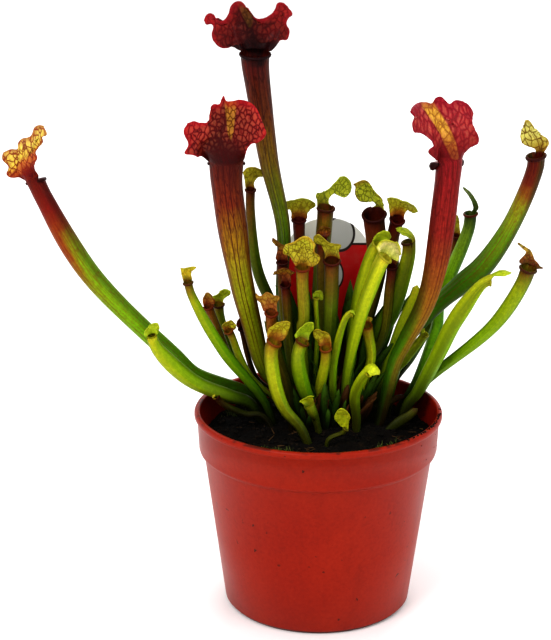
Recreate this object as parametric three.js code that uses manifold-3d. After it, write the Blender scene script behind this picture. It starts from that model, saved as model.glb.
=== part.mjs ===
// A trumpet pitcher plant in a round plastic nursery pot, with a plain plant tag behind it.
// Millimetres, +Z up. The origin is the middle of the pot's flat base; -Y is the side that faces the viewer.
import * as THREE from "three";
import { mergeVertices } from "three/addons/utils/BufferGeometryUtils.js";
import Module from "manifold-3d";

const wasm = await Module();
wasm.setup();

// Pot: a 9 cm nursery pot. Every other pot size follows from these.
const rimDiameter = 90;
const potHeight = 74;
const baseRadius = 34;
const wall = 1.1;
const lipHeight = 2.6;
const lipOverhang = 1;
const collarHeight = 14.5;
const collarStep = 1.8;
const floorThickness = 1.5;
const footChamfer = 1.5;
const lipChamfer = 0.7;
const collarTaper = 0.6;
const drainHoles = 6;
const drainHoleRadius = 3.2;
const drainCircle = 0.6 * baseRadius;
const drainHoleSides = 8;
const potSides = 32;

const rimRadius = rimDiameter / 2;
const collarTopRadius = rimRadius - lipOverhang;
const collarBottomRadius = collarTopRadius - collarTaper;
const collarBottom = potHeight - collarHeight;
const bodyTopRadius = collarBottomRadius - collarStep;
const bodyTop = collarBottom - collarStep;

// Soil: peat, a little higher round the crown of the plant than at the wall.
const soilLevel = 63.5;
const soilCrown = 3;
const crownX = 3;
const crownY = 12;
const soilLumps = 0.5;
const rootDepth = 8;
const fitGap = 0.3;
const stemGap = 0.4;
const wallGap = 0.4;

// Leaves: the shell of a pitcher, its lip, and the blade that its hood is made of.
const leafWall = 0.75;
const hoodThickness = 0.8;
const lipFlare = 0.7;
const lipDrop = 0.35;
const lipLength = 1.2;
const mouthSlant = 0.25;
const hollowLength = 2.6;
const deepestHollow = 0.35;
const stemSteps = 48;

// What a leaf has where its row gives nothing else. A small hood's outline is shares of its half-width, after
// the neck.
const usual = { taper: 0.6, cup: 0.02, ruffle: 0.3, waves: 1.5, neck: 0.8 };
const smallHoodOutline = [0.7, 1, 1, 0.85, 0.3];

// Tag: a plain rounded plastic tag on a spike.
const tagWidth = 38;
const tagHeight = 46;
const tagThickness = 0.9;
const tagY = 34.5;
const tagX = 4;
const tagTop = 136;
const tagCorner = 14;
const spikeWidth = 9;
const spikeBottom = 47;
const spikePoint = 16;
const spikeShoulder = 8;

const finishes = {
  terracotta: { color: 0xb23a22, roughness: 0.4, metalness: 0 },
  peat: { color: 0x1c120c, roughness: 0.95, metalness: 0 },
  card: { color: 0xb01818, roughness: 0.45, metalness: 0 },
  red: { color: 0x9c1f22, roughness: 0.5, metalness: 0 },
  brown: { color: 0x7a4a1c, roughness: 0.5, metalness: 0 },
  olive: { color: 0x7d8a1e, roughness: 0.5, metalness: 0 },
  yellow: { color: 0xb9b82c, roughness: 0.5, metalness: 0 },
  green: { color: 0x6fa01a, roughness: 0.5, metalness: 0 },
};

// Five large pitchers. path runs from just above the soil to the middle of the mouth. base and mouth are
// radii, taper is the power by which one grows into the other, belly swells the tube halfway up, and keel is
// the wing down its front. facing is the way that the mouth looks, in degrees from +X towards +Y.
// A hood is long from the mouth to its tip. left and right are its half-widths at even stations from its neck
// to its tip, and lean is its tilt over the mouth at the neck and at the tip. cup is the curve across it, and
// droop pulls its edges down. ruffle is the height of its waves, and waves is their number along each edge.
const largePitchers = [
  {
    name: "pitcher_tall",
    finish: "red",
    root: [-6, 22],
    path: [[-9, 22, 82], [-13, 21, 108], [-15, 14, 148], [-20, 8, 185], [-22, 5, 200]],
    base: 1.9,
    mouth: 4.7,
    taper: 2.2,
    keel: 0.8,
    facing: -90,
    hood: {
      long: 21,
      left: [3.6, 4.5, 13, 16.5, 15, 18.5, 8],
      right: [3.6, 4.5, 11, 14, 12.5, 15.5, 10],
      lean: [-8, 22],
      cup: -0.05,
      droop: 0.12,
      ruffle: 1.5,
      waves: 2.5,
    },
  },
  {
    name: "pitcher_netted",
    finish: "red",
    root: [-9, 18],
    path: [[-13, 15, 75], [-18, 12, 88], [-24, 8, 105], [-29, 0, 133], [-33, -4, 166]],
    base: 2,
    mouth: 5.6,
    taper: 1.3,
    keel: 0.8,
    facing: 90,
    hood: {
      long: 25,
      left: [4.4, 7, 12, 15.5, 15, 12, 3],
      right: [4.4, 10, 14.5, 14, 11.5, 8, 3],
      lean: [-12, 18],
      cup: -0.04,
      droop: 0.1,
      ruffle: 1.4,
      waves: 2.5,
    },
  },
  {
    name: "pitcher_far_left",
    finish: "red",
    root: [-16, 17.5],
    path: [
      [-20, 16.5, 70],
      [-30, 12, 78.5],
      [-44, 7, 87],
      [-59, 3, 101],
      [-76, 0, 118],
      [-91.5, -3, 143],
      [-99, -5, 159],
    ],
    base: 1.9,
    mouth: 3.3,
    taper: 0.8,
    belly: 0.8,
    keel: 0.5,
    facing: 60,
    hood: {
      long: 19,
      left: [2.6, 3, 5.5, 7, 7, 6, 2],
      right: [2.6, 5, 8, 8.5, 7, 4.5, 2],
      lean: [-4, 85],
      cup: -0.03,
      droop: 0.1,
      ruffle: 1,
      waves: 2.5,
    },
  },
  {
    name: "pitcher_red_right",
    finish: "red",
    root: [21, 6],
    path: [[24, 6, 74], [31, 6, 92], [35, 3, 103], [39, 0, 114], [43, -2, 139], [45, -3, 164]],
    base: 1.9,
    mouth: 4.4,
    taper: 1,
    belly: 0.7,
    keel: 0.8,
    facing: 118,
    hood: {
      long: 26,
      left: [3.4, 4.5, 7.5, 10, 10.5, 8, 3],
      right: [3.4, 7, 13, 17, 17.5, 14, 5],
      lean: [-16, 60],
      cup: -0.03,
      droop: 0.1,
      ruffle: 1.2,
      waves: 2.5,
    },
  },
  {
    name: "pitcher_far_right",
    finish: "olive",
    root: [21, 27],
    path: [
      [24, 26, 76],
      [35, 24, 97],
      [45, 15, 110],
      [58, 10, 126],
      [67, 6, 141],
      [73, 4, 156],
      [75, 3, 166],
    ],
    base: 1.9,
    mouth: 3.1,
    taper: 0.7,
    belly: 1.3,
    keel: 0.5,
    facing: 210,
    hood: {
      long: 17,
      left: [2.2, 2, 4, 6.5, 7, 5, 1],
      right: [2.2, 2, 4, 6.5, 7, 5, 1],
      lean: [-20, 95],
      cup: 0.05,
      droop: 0.1,
      ruffle: 0.7,
      waves: 2,
    },
  },
];

// Smaller pitchers: as above, with a plain hood given by its length and width.
const smallPitchers = [
  // Behind the middle of the clump.
  {
    name: "pitcher_back_1",
    finish: "green",
    root: [-11, 30],
    path: [[-12, 30, 80], [-13, 28, 95], [-20, 22, 114], [-24, 18, 138], [-23, 16, 151]],
    base: 1.4,
    mouth: 2,
    belly: 0.7,
    facing: -60,
    hood: { long: 6, wide: 6, lean: [0, 60] },
  },
  {
    name: "pitcher_back_2",
    finish: "brown",
    root: [-5, 28],
    path: [[-5, 27, 85], [-6, 24, 108], [-8, 21, 138]],
    base: 1.5,
    mouth: 2.5,
    facing: -90,
    hood: { long: 9, wide: 11, neck: 2.4, lean: [-6, 80], cup: -0.12 },
  },
  {
    name: "pitcher_back_3",
    finish: "olive",
    root: [3, 25],
    path: [[2, 23, 75], [0, 20, 98], [1, 18, 133], [3, 17, 146]],
    base: 1.7,
    mouth: 3.3,
    facing: -35,
    hood: { long: 14, wide: 11, neck: 1.7, lean: [-30, 75] },
  },
  {
    name: "pitcher_back_4",
    finish: "brown",
    root: [2, 18],
    path: [[2, 15, 78], [3, 12, 112], [3, 11, 137]],
    base: 1.4,
    mouth: 2.4,
    facing: -60,
    hood: { long: 5, wide: 6, lean: [20, 120] },
  },
  {
    name: "pitcher_back_5",
    finish: "brown",
    root: [10, 22],
    path: [[13, 21, 78], [19, 18, 108], [20, 15, 134], [20, 13, 145]],
    base: 1.8,
    mouth: 3.6,
    facing: 215,
    hood: { long: 14, wide: 11, neck: 1.6, lean: [-10, 100] },
  },
  {
    name: "pitcher_back_6",
    finish: "brown",
    root: [15, 28],
    path: [[19, 26, 82], [28, 22, 108], [28, 18, 132], [28, 16, 141]],
    base: 1.5,
    mouth: 2.5,
    facing: -125,
    hood: { long: 10, wide: 10, neck: 2.2, lean: [-25, 40], cup: -0.1 },
  },
  // Middle of the clump.
  {
    name: "pitcher_middle_1",
    finish: "yellow",
    root: [-4, 8],
    path: [[-4.5, 5, 82], [-6, 0, 106], [-6, -4, 130]],
    base: 1.5,
    mouth: 2.6,
    facing: -90,
    hood: { long: 11, wide: 12, neck: 2.3, lean: [10, 130], cup: -0.08 },
  },
  {
    name: "pitcher_middle_2",
    finish: "brown",
    root: [-8, 10],
    path: [[-9, 10, 80], [-11, 9.5, 112], [-14, 8, 131]],
    base: 1.3,
    mouth: 2,
    facing: 170,
    hood: { long: 7, wide: 5, lean: [0, 75] },
  },
  {
    name: "pitcher_middle_3",
    finish: "brown",
    root: [-8, 5],
    path: [[-9, 5, 82], [-11, 4, 106], [-12, 2, 120]],
    base: 1.4,
    mouth: 2.3,
    facing: -90,
    hood: { long: 5, wide: 6, neck: 2, lean: [0, 80], cup: -0.1 },
  },
  {
    name: "pitcher_middle_4",
    finish: "olive",
    root: [2, 13],
    path: [[3.5, 9, 78], [5, 5, 102], [5, 2, 130]],
    base: 1.6,
    mouth: 2.8,
    facing: -80,
    hood: { long: 8, wide: 10, neck: 2.4, lean: [0, 110], cup: -0.1 },
  },
  {
    name: "pitcher_middle_5",
    finish: "green",
    root: [9, 16],
    path: [[12, 13, 84], [13, 11, 99], [14, 7, 121], [17, 5, 131], [20, 4, 136]],
    base: 1.3,
    mouth: 2.2,
    belly: 0.3,
    facing: 0,
    hood: { long: 6, wide: 5, neck: 1.6, lean: [0, 50] },
  },
  {
    name: "pitcher_middle_6",
    finish: "green",
    root: [10, 7],
    path: [[10, 5, 77], [12, 1, 100], [16, -2, 112], [20, -3, 129], [24, -4, 135]],
    base: 1.3,
    mouth: 2.3,
    belly: 0.5,
    facing: -10,
    hood: { long: 8, wide: 8, neck: 2, lean: [0, 120], cup: 0.1 },
  },
  {
    name: "pitcher_middle_7",
    finish: "olive",
    root: [19, 20],
    path: [[21, 19, 80], [26, 18, 98], [30, 15, 111], [33, 12, 126], [32, 11, 134]],
    base: 1.5,
    mouth: 2.5,
    belly: 0.3,
    facing: 185,
    hood: { long: 9, wide: 5, neck: 1.6, lean: [10, 100] },
  },
  {
    name: "pitcher_middle_8",
    finish: "brown",
    root: [15, 17],
    path: [[18, 15, 82], [22, 14, 100], [26, 11, 117], [26, 10, 126]],
    base: 1.2,
    mouth: 1.9,
    facing: -90,
    hood: { long: 4, wide: 4, lean: [0, 80] },
  },
  // Right side.
  {
    name: "pitcher_right_1",
    finish: "green",
    root: [28, 20],
    path: [[31, 19, 72], [36, 19, 80], [42, 20, 93], [46, 23, 107], [50, 23, 125], [54, 22, 139]],
    base: 1.3,
    mouth: 2.4,
    facing: 175,
    hood: { long: 12, wide: 2.6, neck: 1.2, lean: [-14, 40] },
  },
  {
    name: "pitcher_right_2",
    finish: "olive",
    root: [26, 25],
    path: [[29, 26.5, 74], [36, 28.5, 84], [46, 32, 98], [49, 30.5, 114], [51, 27, 131]],
    base: 1,
    mouth: 1.7,
    facing: -90,
    hood: { long: 4, wide: 3.4, lean: [0, 60] },
  },
  {
    name: "pitcher_right_3",
    finish: "green",
    root: [29, 9],
    path: [[33, 9, 72], [38, 7, 84], [42, 6, 94], [48, 3, 107], [55, 1, 117], [62, 0, 121]],
    base: 1.5,
    mouth: 1.9,
    belly: 0.8,
    facing: 0,
    hood: { long: 8.5, wide: 3.4, neck: 1.3, lean: [0, 40] },
  },
  {
    name: "pitcher_right_4",
    finish: "green",
    root: [30, 15],
    path: [
      [35, 15, 71],
      [41, 15, 78.5],
      [47, 12, 85],
      [54, 8, 94],
      [61, 4, 104],
      [71, 0, 119],
      [74, -1, 127],
    ],
    base: 1.4,
    mouth: 2.2,
    belly: 0.2,
    facing: 215,
    hood: { long: 8, wide: 4, neck: 1.8, lean: [-10, 70] },
  },
  {
    name: "pitcher_right_5",
    finish: "green",
    root: [25, 16],
    path: [[27, 15, 74], [31, 15, 84], [35, 14, 92], [39, 13, 98]],
    base: 1.2,
    mouth: 1.7,
    facing: 10,
    hood: { long: 2.5, wide: 3, lean: [0, 60] },
  },
  // Left side.
  {
    name: "pitcher_left_1",
    finish: "green",
    root: [-14, 6],
    path: [[-18.5, 6.4, 71], [-27, 4.2, 82], [-34, 2, 93], [-41, 0, 107], [-46, -2, 119]],
    base: 1.2,
    mouth: 1.7,
    belly: 1.2,
    facing: -30,
    hood: { long: 5, wide: 4, neck: 1.3, lean: [-25, 60] },
  },
  {
    name: "pitcher_left_2",
    finish: "brown",
    root: [-21.5, 20.5],
    path: [[-24, 19.5, 75], [-31, 15, 91], [-35, 14, 100], [-40, 13, 111]],
    base: 1.3,
    mouth: 2,
    facing: -60,
    hood: { long: 6, wide: 4.4, neck: 1.6, lean: [-5, 20] },
  },
  {
    name: "pitcher_left_3",
    finish: "green",
    root: [-19, 25],
    path: [[-21.5, 25, 74], [-27.5, 22, 84], [-32, 20, 97], [-36, 19, 110]],
    base: 1.3,
    mouth: 2,
    facing: -20,
    hood: { long: 6, wide: 4, neck: 1.3, lean: [-10, 70] },
  },
  {
    name: "pitcher_left_4",
    finish: "green",
    root: [-11, 13],
    path: [[-14, 12, 71], [-20, 11, 78], [-26, 9, 84], [-31, 8, 92], [-32, 6, 101]],
    base: 1.2,
    mouth: 1.8,
    facing: 200,
    hood: { long: 5, wide: 4, neck: 1.5, lean: [0, 90] },
  },
  {
    name: "pitcher_left_5",
    finish: "brown",
    root: [-13, 25.5],
    path: [[-15, 24.5, 69], [-21, 22, 79], [-25, 19, 87], [-28, 15, 99]],
    base: 1,
    mouth: 2.2,
    taper: 2,
    facing: 235,
    hood: { long: 4.5, wide: 4.6, neck: 1.8, lean: [0, 60] },
  },
  {
    name: "pitcher_left_6",
    finish: "brown",
    root: [-9, 0],
    path: [[-11, 0.5, 82], [-15, -0.5, 98], [-18, -3, 115]],
    base: 1.2,
    mouth: 2.4,
    facing: -90,
    hood: { long: 6.5, wide: 8, neck: 2.4, lean: [-10, 50], cup: -0.12, ruffle: 0.5 },
  },
  {
    name: "pitcher_left_7",
    finish: "green",
    root: [-17, 13],
    path: [[-21, 10.8, 71], [-30, 4.5, 78], [-45, 0, 85], [-55, -4.5, 95], [-60, -6, 102]],
    base: 1.3,
    mouth: 1.8,
    belly: 0.5,
    facing: -20,
    hood: { long: 4.5, wide: 4, neck: 1.6, lean: [0, 90] },
  },
  // Front of the clump.
  {
    name: "pitcher_front_1",
    finish: "yellow",
    root: [-1, -12],
    path: [[-6, -10, 73], [-11, -9, 80], [-15, -8, 88], [-17, -8, 98], [-16, -8, 105]],
    base: 1.5,
    mouth: 2.5,
    facing: -20,
    hood: { long: 8.5, wide: 6, neck: 2, lean: [10, 110] },
  },
  {
    name: "pitcher_front_2",
    finish: "green",
    root: [-1, 3],
    path: [[-3, -0.5, 79], [-6, -4, 86], [-7, -6, 97], [-7, -6, 103]],
    base: 1.4,
    mouth: 2.5,
    facing: -20,
    hood: { long: 9, wide: 6, neck: 2, lean: [0, 110] },
  },
  {
    name: "pitcher_front_3",
    finish: "yellow",
    root: [2, 8],
    path: [[1, 4.5, 74], [2.5, 0.5, 84], [3.5, -3, 96], [2.5, -4, 103]],
    base: 1.4,
    mouth: 2.2,
    facing: 205,
    hood: { long: 8, wide: 6, neck: 1.8, lean: [20, 115] },
  },
  {
    name: "pitcher_front_4",
    finish: "green",
    root: [-2, 12.5],
    path: [[-1, 9, 75], [0, 5.5, 88], [0, 4.5, 103], [-1, 4, 114]],
    base: 1,
    mouth: 1.5,
    facing: -20,
    hood: { long: 5, wide: 2.6, neck: 1.2, lean: [10, 150] },
  },
  {
    name: "pitcher_front_5",
    finish: "green",
    root: [6, 4],
    path: [[6, 3, 78], [6, 0, 95], [7, -1, 104], [9, -1.5, 108]],
    base: 1,
    mouth: 1.5,
    facing: 0,
    hood: { long: 4, wide: 2.8, neck: 1.2, lean: [10, 60] },
  },
  {
    name: "pitcher_front_6",
    finish: "yellow",
    root: [14, 11],
    path: [[17, 9, 80], [20, 8, 91], [19, 6, 104]],
    base: 1.1,
    mouth: 1.7,
    facing: -90,
    hood: { long: 3.5, wide: 4.6, neck: 1.6, lean: [10, 90], cup: -0.1 },
  },
  {
    name: "pitcher_front_7",
    finish: "yellow",
    root: [14, 0],
    path: [[12.5, 0, 76], [13, -2, 83], [16, -4, 88.5], [20, -5, 90]],
    base: 1.5,
    mouth: 1.9,
    facing: 0,
    hood: { long: 6.5, wide: 5.6, neck: 1.6, lean: [0, 130], cup: 0.08 },
  },
  {
    name: "pitcher_front_8",
    finish: "yellow",
    root: [2, -2],
    path: [[0, -3, 68], [-3, -6, 73]],
    base: 1,
    mouth: 2,
    taper: 1.6,
    facing: -150,
    hood: { long: 3, wide: 3.6, neck: 1.4, lean: [-10, 20] },
  },
];

// Young leaves whose tube hasn't opened: spindles, flat by the ratio given, some with a blade at the end.
const youngLeaves = [
  {
    name: "young_leaf_front",
    finish: "yellow",
    root: [4, -13],
    path: [[7, -14, 67.5], [10, -15, 70], [9, -15, 72.5]],
    base: 0.9,
    end: 0.8,
    belly: 0.3,
    flat: 0.8,
    facing: -90,
    hood: { long: 6.5, wide: 5.4, neck: 0.9, lean: [-6, 10] },
  },
  {
    name: "young_leaf_left_low",
    finish: "olive",
    root: [-13, 1],
    path: [[-20, 3, 68.5], [-29, 2, 71], [-36, 0, 76.5]],
    base: 1,
    end: 1.2,
    belly: 0,
    flat: 0.9,
    facing: 0,
    hood: { long: 3, wide: 3.2, neck: 1.1, lean: [0, 90] },
  },
  {
    name: "young_leaf_left_back",
    finish: "olive",
    root: [-16.5, 29.6],
    path: [[-20, 28.8, 69.6], [-27, 26.2, 73], [-32, 25, 76]],
    base: 1,
    end: 0.8,
    belly: 0.9,
    flat: 0.7,
    facing: 90,
  },
  {
    name: "young_leaf_right_low",
    finish: "olive",
    root: [20, 11],
    path: [[23, 12, 69], [27, 12.3, 71], [30, 12.5, 72.5]],
    base: 1,
    end: 0.6,
    belly: 0.5,
    flat: 0.8,
    facing: 90,
  },
  {
    name: "young_leaf_right_front",
    finish: "olive",
    root: [20, 0.5],
    path: [[24, 1.5, 67], [29, 2.5, 68], [35, 3.5, 70]],
    base: 1,
    end: 1,
    belly: 1,
    flat: 0.6,
    facing: 90,
  },
  {
    name: "young_leaf_middle",
    finish: "green",
    root: [7.8, 9.5],
    path: [[7.6, 9.2, 76], [7.2, 8.8, 83]],
    base: 0.9,
    end: 0.5,
    belly: 0.5,
    flat: 0.8,
    facing: -90,
  },
  {
    name: "young_leaf_broad",
    finish: "green",
    root: [19, 15.5],
    path: [[22, 14, 77], [26, 13, 88], [30, 12, 101], [36, 11, 115]],
    base: 1.4,
    end: 1.2,
    belly: 1.5,
    flat: 0.6,
    facing: -90,
  },
];

function solidOf(geometry) {
  const bare = geometry.clone();
  bare.deleteAttribute("normal");
  bare.deleteAttribute("uv");
  const merged = mergeVertices(bare);
  return new wasm.Manifold(
    new wasm.Mesh({
      numProp: 3,
      vertProperties: new Float32Array(merged.getAttribute("position").array),
      triVerts: new Uint32Array(merged.index.array),
    }),
  );
}

function meshOf(solid, name, finish) {
  const data = solid.getMesh();
  const geometry = new THREE.BufferGeometry();
  geometry.setAttribute("position", new THREE.BufferAttribute(new Float32Array(data.vertProperties), 3));
  geometry.setIndex(new THREE.BufferAttribute(new Uint32Array(data.triVerts), 1));
  geometry.computeVertexNormals();
  const mesh = new THREE.Mesh(geometry, new THREE.MeshStandardMaterial(finishes[finish]));
  mesh.name = name;
  return mesh;
}

// A profile of [radius, height] points, turned round the pot's axis.
function turned(profile, sides) {
  const points = profile.map(([radius, height]) => new THREE.Vector2(radius, height));
  return new THREE.LatheGeometry(points, sides).rotateX(Math.PI / 2);
}

function potBodyRadius(height) {
  return baseRadius + ((bodyTopRadius - baseRadius) * height) / bodyTop;
}

// Tapered wall, a step out to the collar, and a rolled lip on top.
function buildPot() {
  const lipBottom = potHeight - lipHeight;
  const profile = [
    [0, 0],
    [baseRadius - footChamfer, 0],
    [potBodyRadius(footChamfer), footChamfer],
    [bodyTopRadius, bodyTop],
    [collarBottomRadius, collarBottom],
    [collarTopRadius, lipBottom],
    [rimRadius, lipBottom + lipChamfer],
    [rimRadius, potHeight - lipChamfer],
    [rimRadius - lipChamfer, potHeight],
    [collarTopRadius - wall, potHeight],
    [collarTopRadius - wall, lipBottom],
    [collarBottomRadius - wall, collarBottom + wall],
    [bodyTopRadius - wall, bodyTop],
    [potBodyRadius(floorThickness) - wall, floorThickness],
    [0, floorThickness],
  ];
  let pot = solidOf(turned(profile, potSides));
  for (let hole = 0; hole < drainHoles; hole++) {
    const angle = (2 * Math.PI * hole) / drainHoles;
    const depth = 4 * floorThickness;
    const cutter = new THREE.CylinderGeometry(drainHoleRadius, drainHoleRadius, depth, drainHoleSides)
      .rotateX(Math.PI / 2)
      .translate(drainCircle * Math.cos(angle), drainCircle * Math.sin(angle), 0);
    pot = pot.subtract(solidOf(cutter));
  }
  return pot;
}

// Height of the soil: a low mound under the plant, with soft lumps.
function soilHeight(x, y) {
  const fromCrown = Math.hypot(x - crownX, y - crownY) / collarTopRadius;
  const mound = soilCrown * Math.exp(-3 * fromCrown * fromCrown);
  const lumps = Math.sin(0.31 * x + 1.3) * Math.cos(0.27 * y) + 0.6 * Math.sin(0.53 * y - 0.41 * x);
  return soilLevel + mound + soilLumps * lumps;
}

// The soil fills the pot down to its floor, a fit gap clear of it.
function buildSoil(stems) {
  const inset = wall + wallGap;
  const top = collarBottomRadius - inset;
  const profile = [
    [0, floorThickness + fitGap],
    [potBodyRadius(floorThickness) - inset, floorThickness + fitGap],
    [bodyTopRadius - inset, bodyTop - wallGap],
    [top, collarBottom + wall + wallGap],
    [top, soilLevel],
    [0.7 * top, soilLevel],
    [0.35 * top, soilLevel],
    [0, soilLevel],
  ];
  const geometry = turned(profile, potSides);
  const position = geometry.getAttribute("position");
  for (let i = 0; i < position.count; i++)
    if (position.getZ(i) > soilLevel - 0.01)
      position.setZ(i, soilHeight(position.getX(i), position.getY(i)));
  let soil = solidOf(geometry);
  for (const stem of stems) soil = soil.subtract(stem);
  return soil;
}

function vector([x, y, z]) {
  return new THREE.Vector3(x, y, z);
}

// The line of a leaf's stem with a side direction carried along it, so that rings on it don't twist.
// Each station has a centre, the way along, the way that the leaf faces, and the way across.
function stemLine(leaf) {
  const [rootX, rootY] = leaf.root;
  const root = new THREE.Vector3(rootX, rootY, soilHeight(rootX, rootY) - rootDepth);
  const curve = new THREE.CatmullRomCurve3([root, ...leaf.path.map(vector)], false, "centripetal");
  const turn = THREE.MathUtils.degToRad(leaf.facing);
  let facing = new THREE.Vector3(Math.cos(turn), Math.sin(turn), 0);
  const stations = [];
  for (let step = 0; step <= stemSteps; step++) {
    const centre = curve.getPointAt(step / stemSteps);
    const along = curve.getTangentAt(step / stemSteps);
    facing = facing.clone().addScaledVector(along, -facing.dot(along)).normalize();
    const across = along.clone().cross(facing);
    stations.push({ centre, along, facing, across });
  }
  return { stations, length: curve.getLength() };
}

// Half the tube's width at a share of its length, and how far its front wing stands out there.
function tubeRadius(leaf, share) {
  const end = leaf.mouth ?? leaf.end;
  const grown = leaf.base + (end - leaf.base) * Math.pow(share, leaf.taper ?? usual.taper);
  return grown + (leaf.belly ?? 0) * Math.sin(Math.PI * share);
}

function ring(line, share, radius, shape) {
  const station = line.stations[Math.round(THREE.MathUtils.clamp(share, 0, 1) * stemSteps)];
  return { ...station, radius, keel: 0, flat: 1, tilt: 0, lift: 0, ...shape };
}

function ringPoint({ centre, along, facing, across, radius, keel, flat, tilt, lift }, angle, reach) {
  const front = Math.cos(angle);
  const side = Math.sin(angle);
  const out = flat * front * radius + keel * Math.max(0, front) ** 4;
  return centre
    .clone()
    .addScaledVector(facing, reach * out)
    .addScaledVector(across, reach * side * radius)
    .addScaledVector(along, lift - reach * tilt * front);
}

// A closed skin over a row of rings, from the first to the last.
function loft(rings, sides) {
  const bands = rings.length - 1;
  const geometry = new THREE.CylinderGeometry(1, 1, bands, sides, bands);
  const position = geometry.getAttribute("position");
  for (let i = 0; i < position.count; i++) {
    const row = Math.round(bands / 2 + position.getY(i));
    const reach = Math.hypot(position.getX(i), position.getZ(i));
    const angle = Math.atan2(position.getX(i), position.getZ(i));
    const point = ringPoint(rings[row], angle, reach < 0.5 ? 0 : 1);
    position.setXYZ(i, point.x, point.y, point.z);
  }
  return solidOf(geometry);
}

// The hole that a stem stands in: the stem's own rings, a gap wider, up to the first clear of the soil.
function stemHole(leaf) {
  const clearance = 3 * soilLumps;
  const rings = [];
  for (const made of stemRings(leaf, stemLine(leaf))) {
    rings.push({ ...made, radius: made.radius + stemGap });
    const { x, y, z } = made.centre;
    if (z - made.radius > soilHeight(x, y) + clearance) break;
  }
  rings[0].lift = -fitGap;
  return loft(rings, leaf.sides);
}

// The rings of a leaf's stem from its root to just under its lip, or to its end where it has no mouth.
function stemRings(leaf, line) {
  const top = leaf.mouth ? 1 - lipLength / line.length : 1;
  const rings = [];
  for (let band = 0; band <= leaf.bands; band++) {
    const share = (top * band) / leaf.bands;
    const tilt = mouthTilt(leaf) * Math.max(0, 10 * share - 9);
    const keel = leafKeel(leaf, share);
    rings.push(ring(line, share, tubeRadius(leaf, share), { keel, tilt, flat: leaf.flat ?? 1 }));
  }
  return rings;
}

// How much lower the front of the mouth is than its back, over half its width.
function mouthTilt(leaf) {
  return leaf.mouth ? mouthSlant * leaf.mouth : 0;
}

function leafKeel(leaf, share) {
  return (leaf.keel ?? 0) * Math.sin(Math.PI * share);
}

// Value of evenly spaced numbers at a share of the way along them.
function alongList(numbers, share) {
  const place = share * (numbers.length - 1);
  const index = Math.min(Math.floor(place), numbers.length - 2);
  return THREE.MathUtils.lerp(numbers[index], numbers[index + 1], place - index);
}

function hoodHalfWidth(leaf, share, side) {
  const { hood } = leaf;
  if (hood.left) return alongList(side < 0 ? hood.left : hood.right, share);
  const half = hood.wide / 2;
  const neck = Math.min(hood.neck ?? leaf.mouth * usual.neck, half);
  return alongList([neck, ...smallHoodOutline.map((part) => part * half)], share);
}

// A point of the hood: side runs from -1 to 1 across it, share from 0 at its root in the tube's back to 1 at
// its tip, and level is -1 on its outer face and 1 on the face towards the mouth. Across, it follows the
// tube's wall at its root and opens out to its own curve over the first two fifths.
function hoodPoint(leaf, station, side, share, level) {
  const { hood } = leaf;
  const { centre, along, facing, across } = station;
  const wallRadius = (leaf.mouth ?? leaf.end) - leafWall / 2;
  const half = hoodHalfWidth(leaf, share, side);
  const down = share * (1 - (hood.droop ?? 0) * side * side);
  const [leanStart, leanEnd] = hood.lean.map(THREE.MathUtils.degToRad);
  const lean = leanStart + (leanEnd - leanStart) * down;
  const reach = (hood.long + sunk(leaf)) / (leanEnd - leanStart);
  const opened = Math.min(1, share / 0.4);
  const bend = THREE.MathUtils.lerp(1 / wallRadius, hood.cup ?? usual.cup, opened);
  const arc = bend * side * half;
  const inward = facing.clone().multiplyScalar(Math.cos(lean)).addScaledVector(along, -Math.sin(lean));
  const phase = side < 0 ? 0.9 : 0;
  const swing = Math.sin(2 * Math.PI * (hood.waves ?? usual.waves) * share + phase);
  const wave = (hood.ruffle ?? usual.ruffle) * side * side * swing;
  return centre
    .clone()
    .addScaledVector(facing, -wallRadius - reach * (Math.cos(lean) - Math.cos(leanStart)))
    .addScaledVector(along, -sunk(leaf) + reach * (Math.sin(lean) - Math.sin(leanStart)))
    .addScaledVector(across, Math.sin(arc) / bend)
    .addScaledVector(inward, (1 - Math.cos(arc)) / bend + wave + (level * hoodThickness) / 2);
}

// How far the hood's root reaches down into what it grows from.
function sunk(leaf) {
  return leaf.mouth ? 0.15 * leaf.mouth + leafWall / 2 : hoodThickness;
}

// A thin waved blade with an outer face, an inner face split the same way, and a band round its edge.
function buildHood(leaf, station) {
  const { cellsAcross, cellsAlong } = leaf;
  const plane = new THREE.PlaneGeometry(2, 1, cellsAcross, cellsAlong);
  const grid = plane.getAttribute("position");
  const faces = plane.index.array;
  const points = [];
  for (const level of [1, -1])
    for (let i = 0; i < grid.count; i++) {
      const point = hoodPoint(leaf, station, grid.getX(i), grid.getY(i) + 0.5, level);
      points.push(point.x, point.y, point.z);
    }
  const indices = [];
  const other = grid.count;
  for (let i = 0; i < faces.length; i += 3) {
    indices.push(faces[i], faces[i + 1], faces[i + 2]);
    indices.push(other + faces[i], other + faces[i + 2], other + faces[i + 1]);
  }
  const edge = [];
  const row = cellsAcross + 1;
  for (let i = 0; i < cellsAcross; i++) edge.push(i);
  for (let i = 0; i < cellsAlong; i++) edge.push(cellsAcross + i * row);
  for (let i = cellsAcross; i > 0; i--) edge.push(cellsAlong * row + i);
  for (let i = cellsAlong; i > 0; i--) edge.push(i * row);
  edge.forEach((here, i) => {
    const next = edge[(i + 1) % edge.length];
    indices.push(here, next, other + here);
    indices.push(next, other + next, other + here);
  });
  const geometry = new THREE.BufferGeometry();
  geometry.setAttribute("position", new THREE.BufferAttribute(new Float32Array(points), 3));
  geometry.setIndex(indices);
  const hood = solidOf(geometry);
  return hood.volume() < 0 ? solidOf(flipped(geometry)) : hood;
}

function flipped(geometry) {
  const turnedRound = geometry.clone();
  turnedRound.setIndex(Array.from(geometry.index.array).reverse());
  return turnedRound;
}

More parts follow.
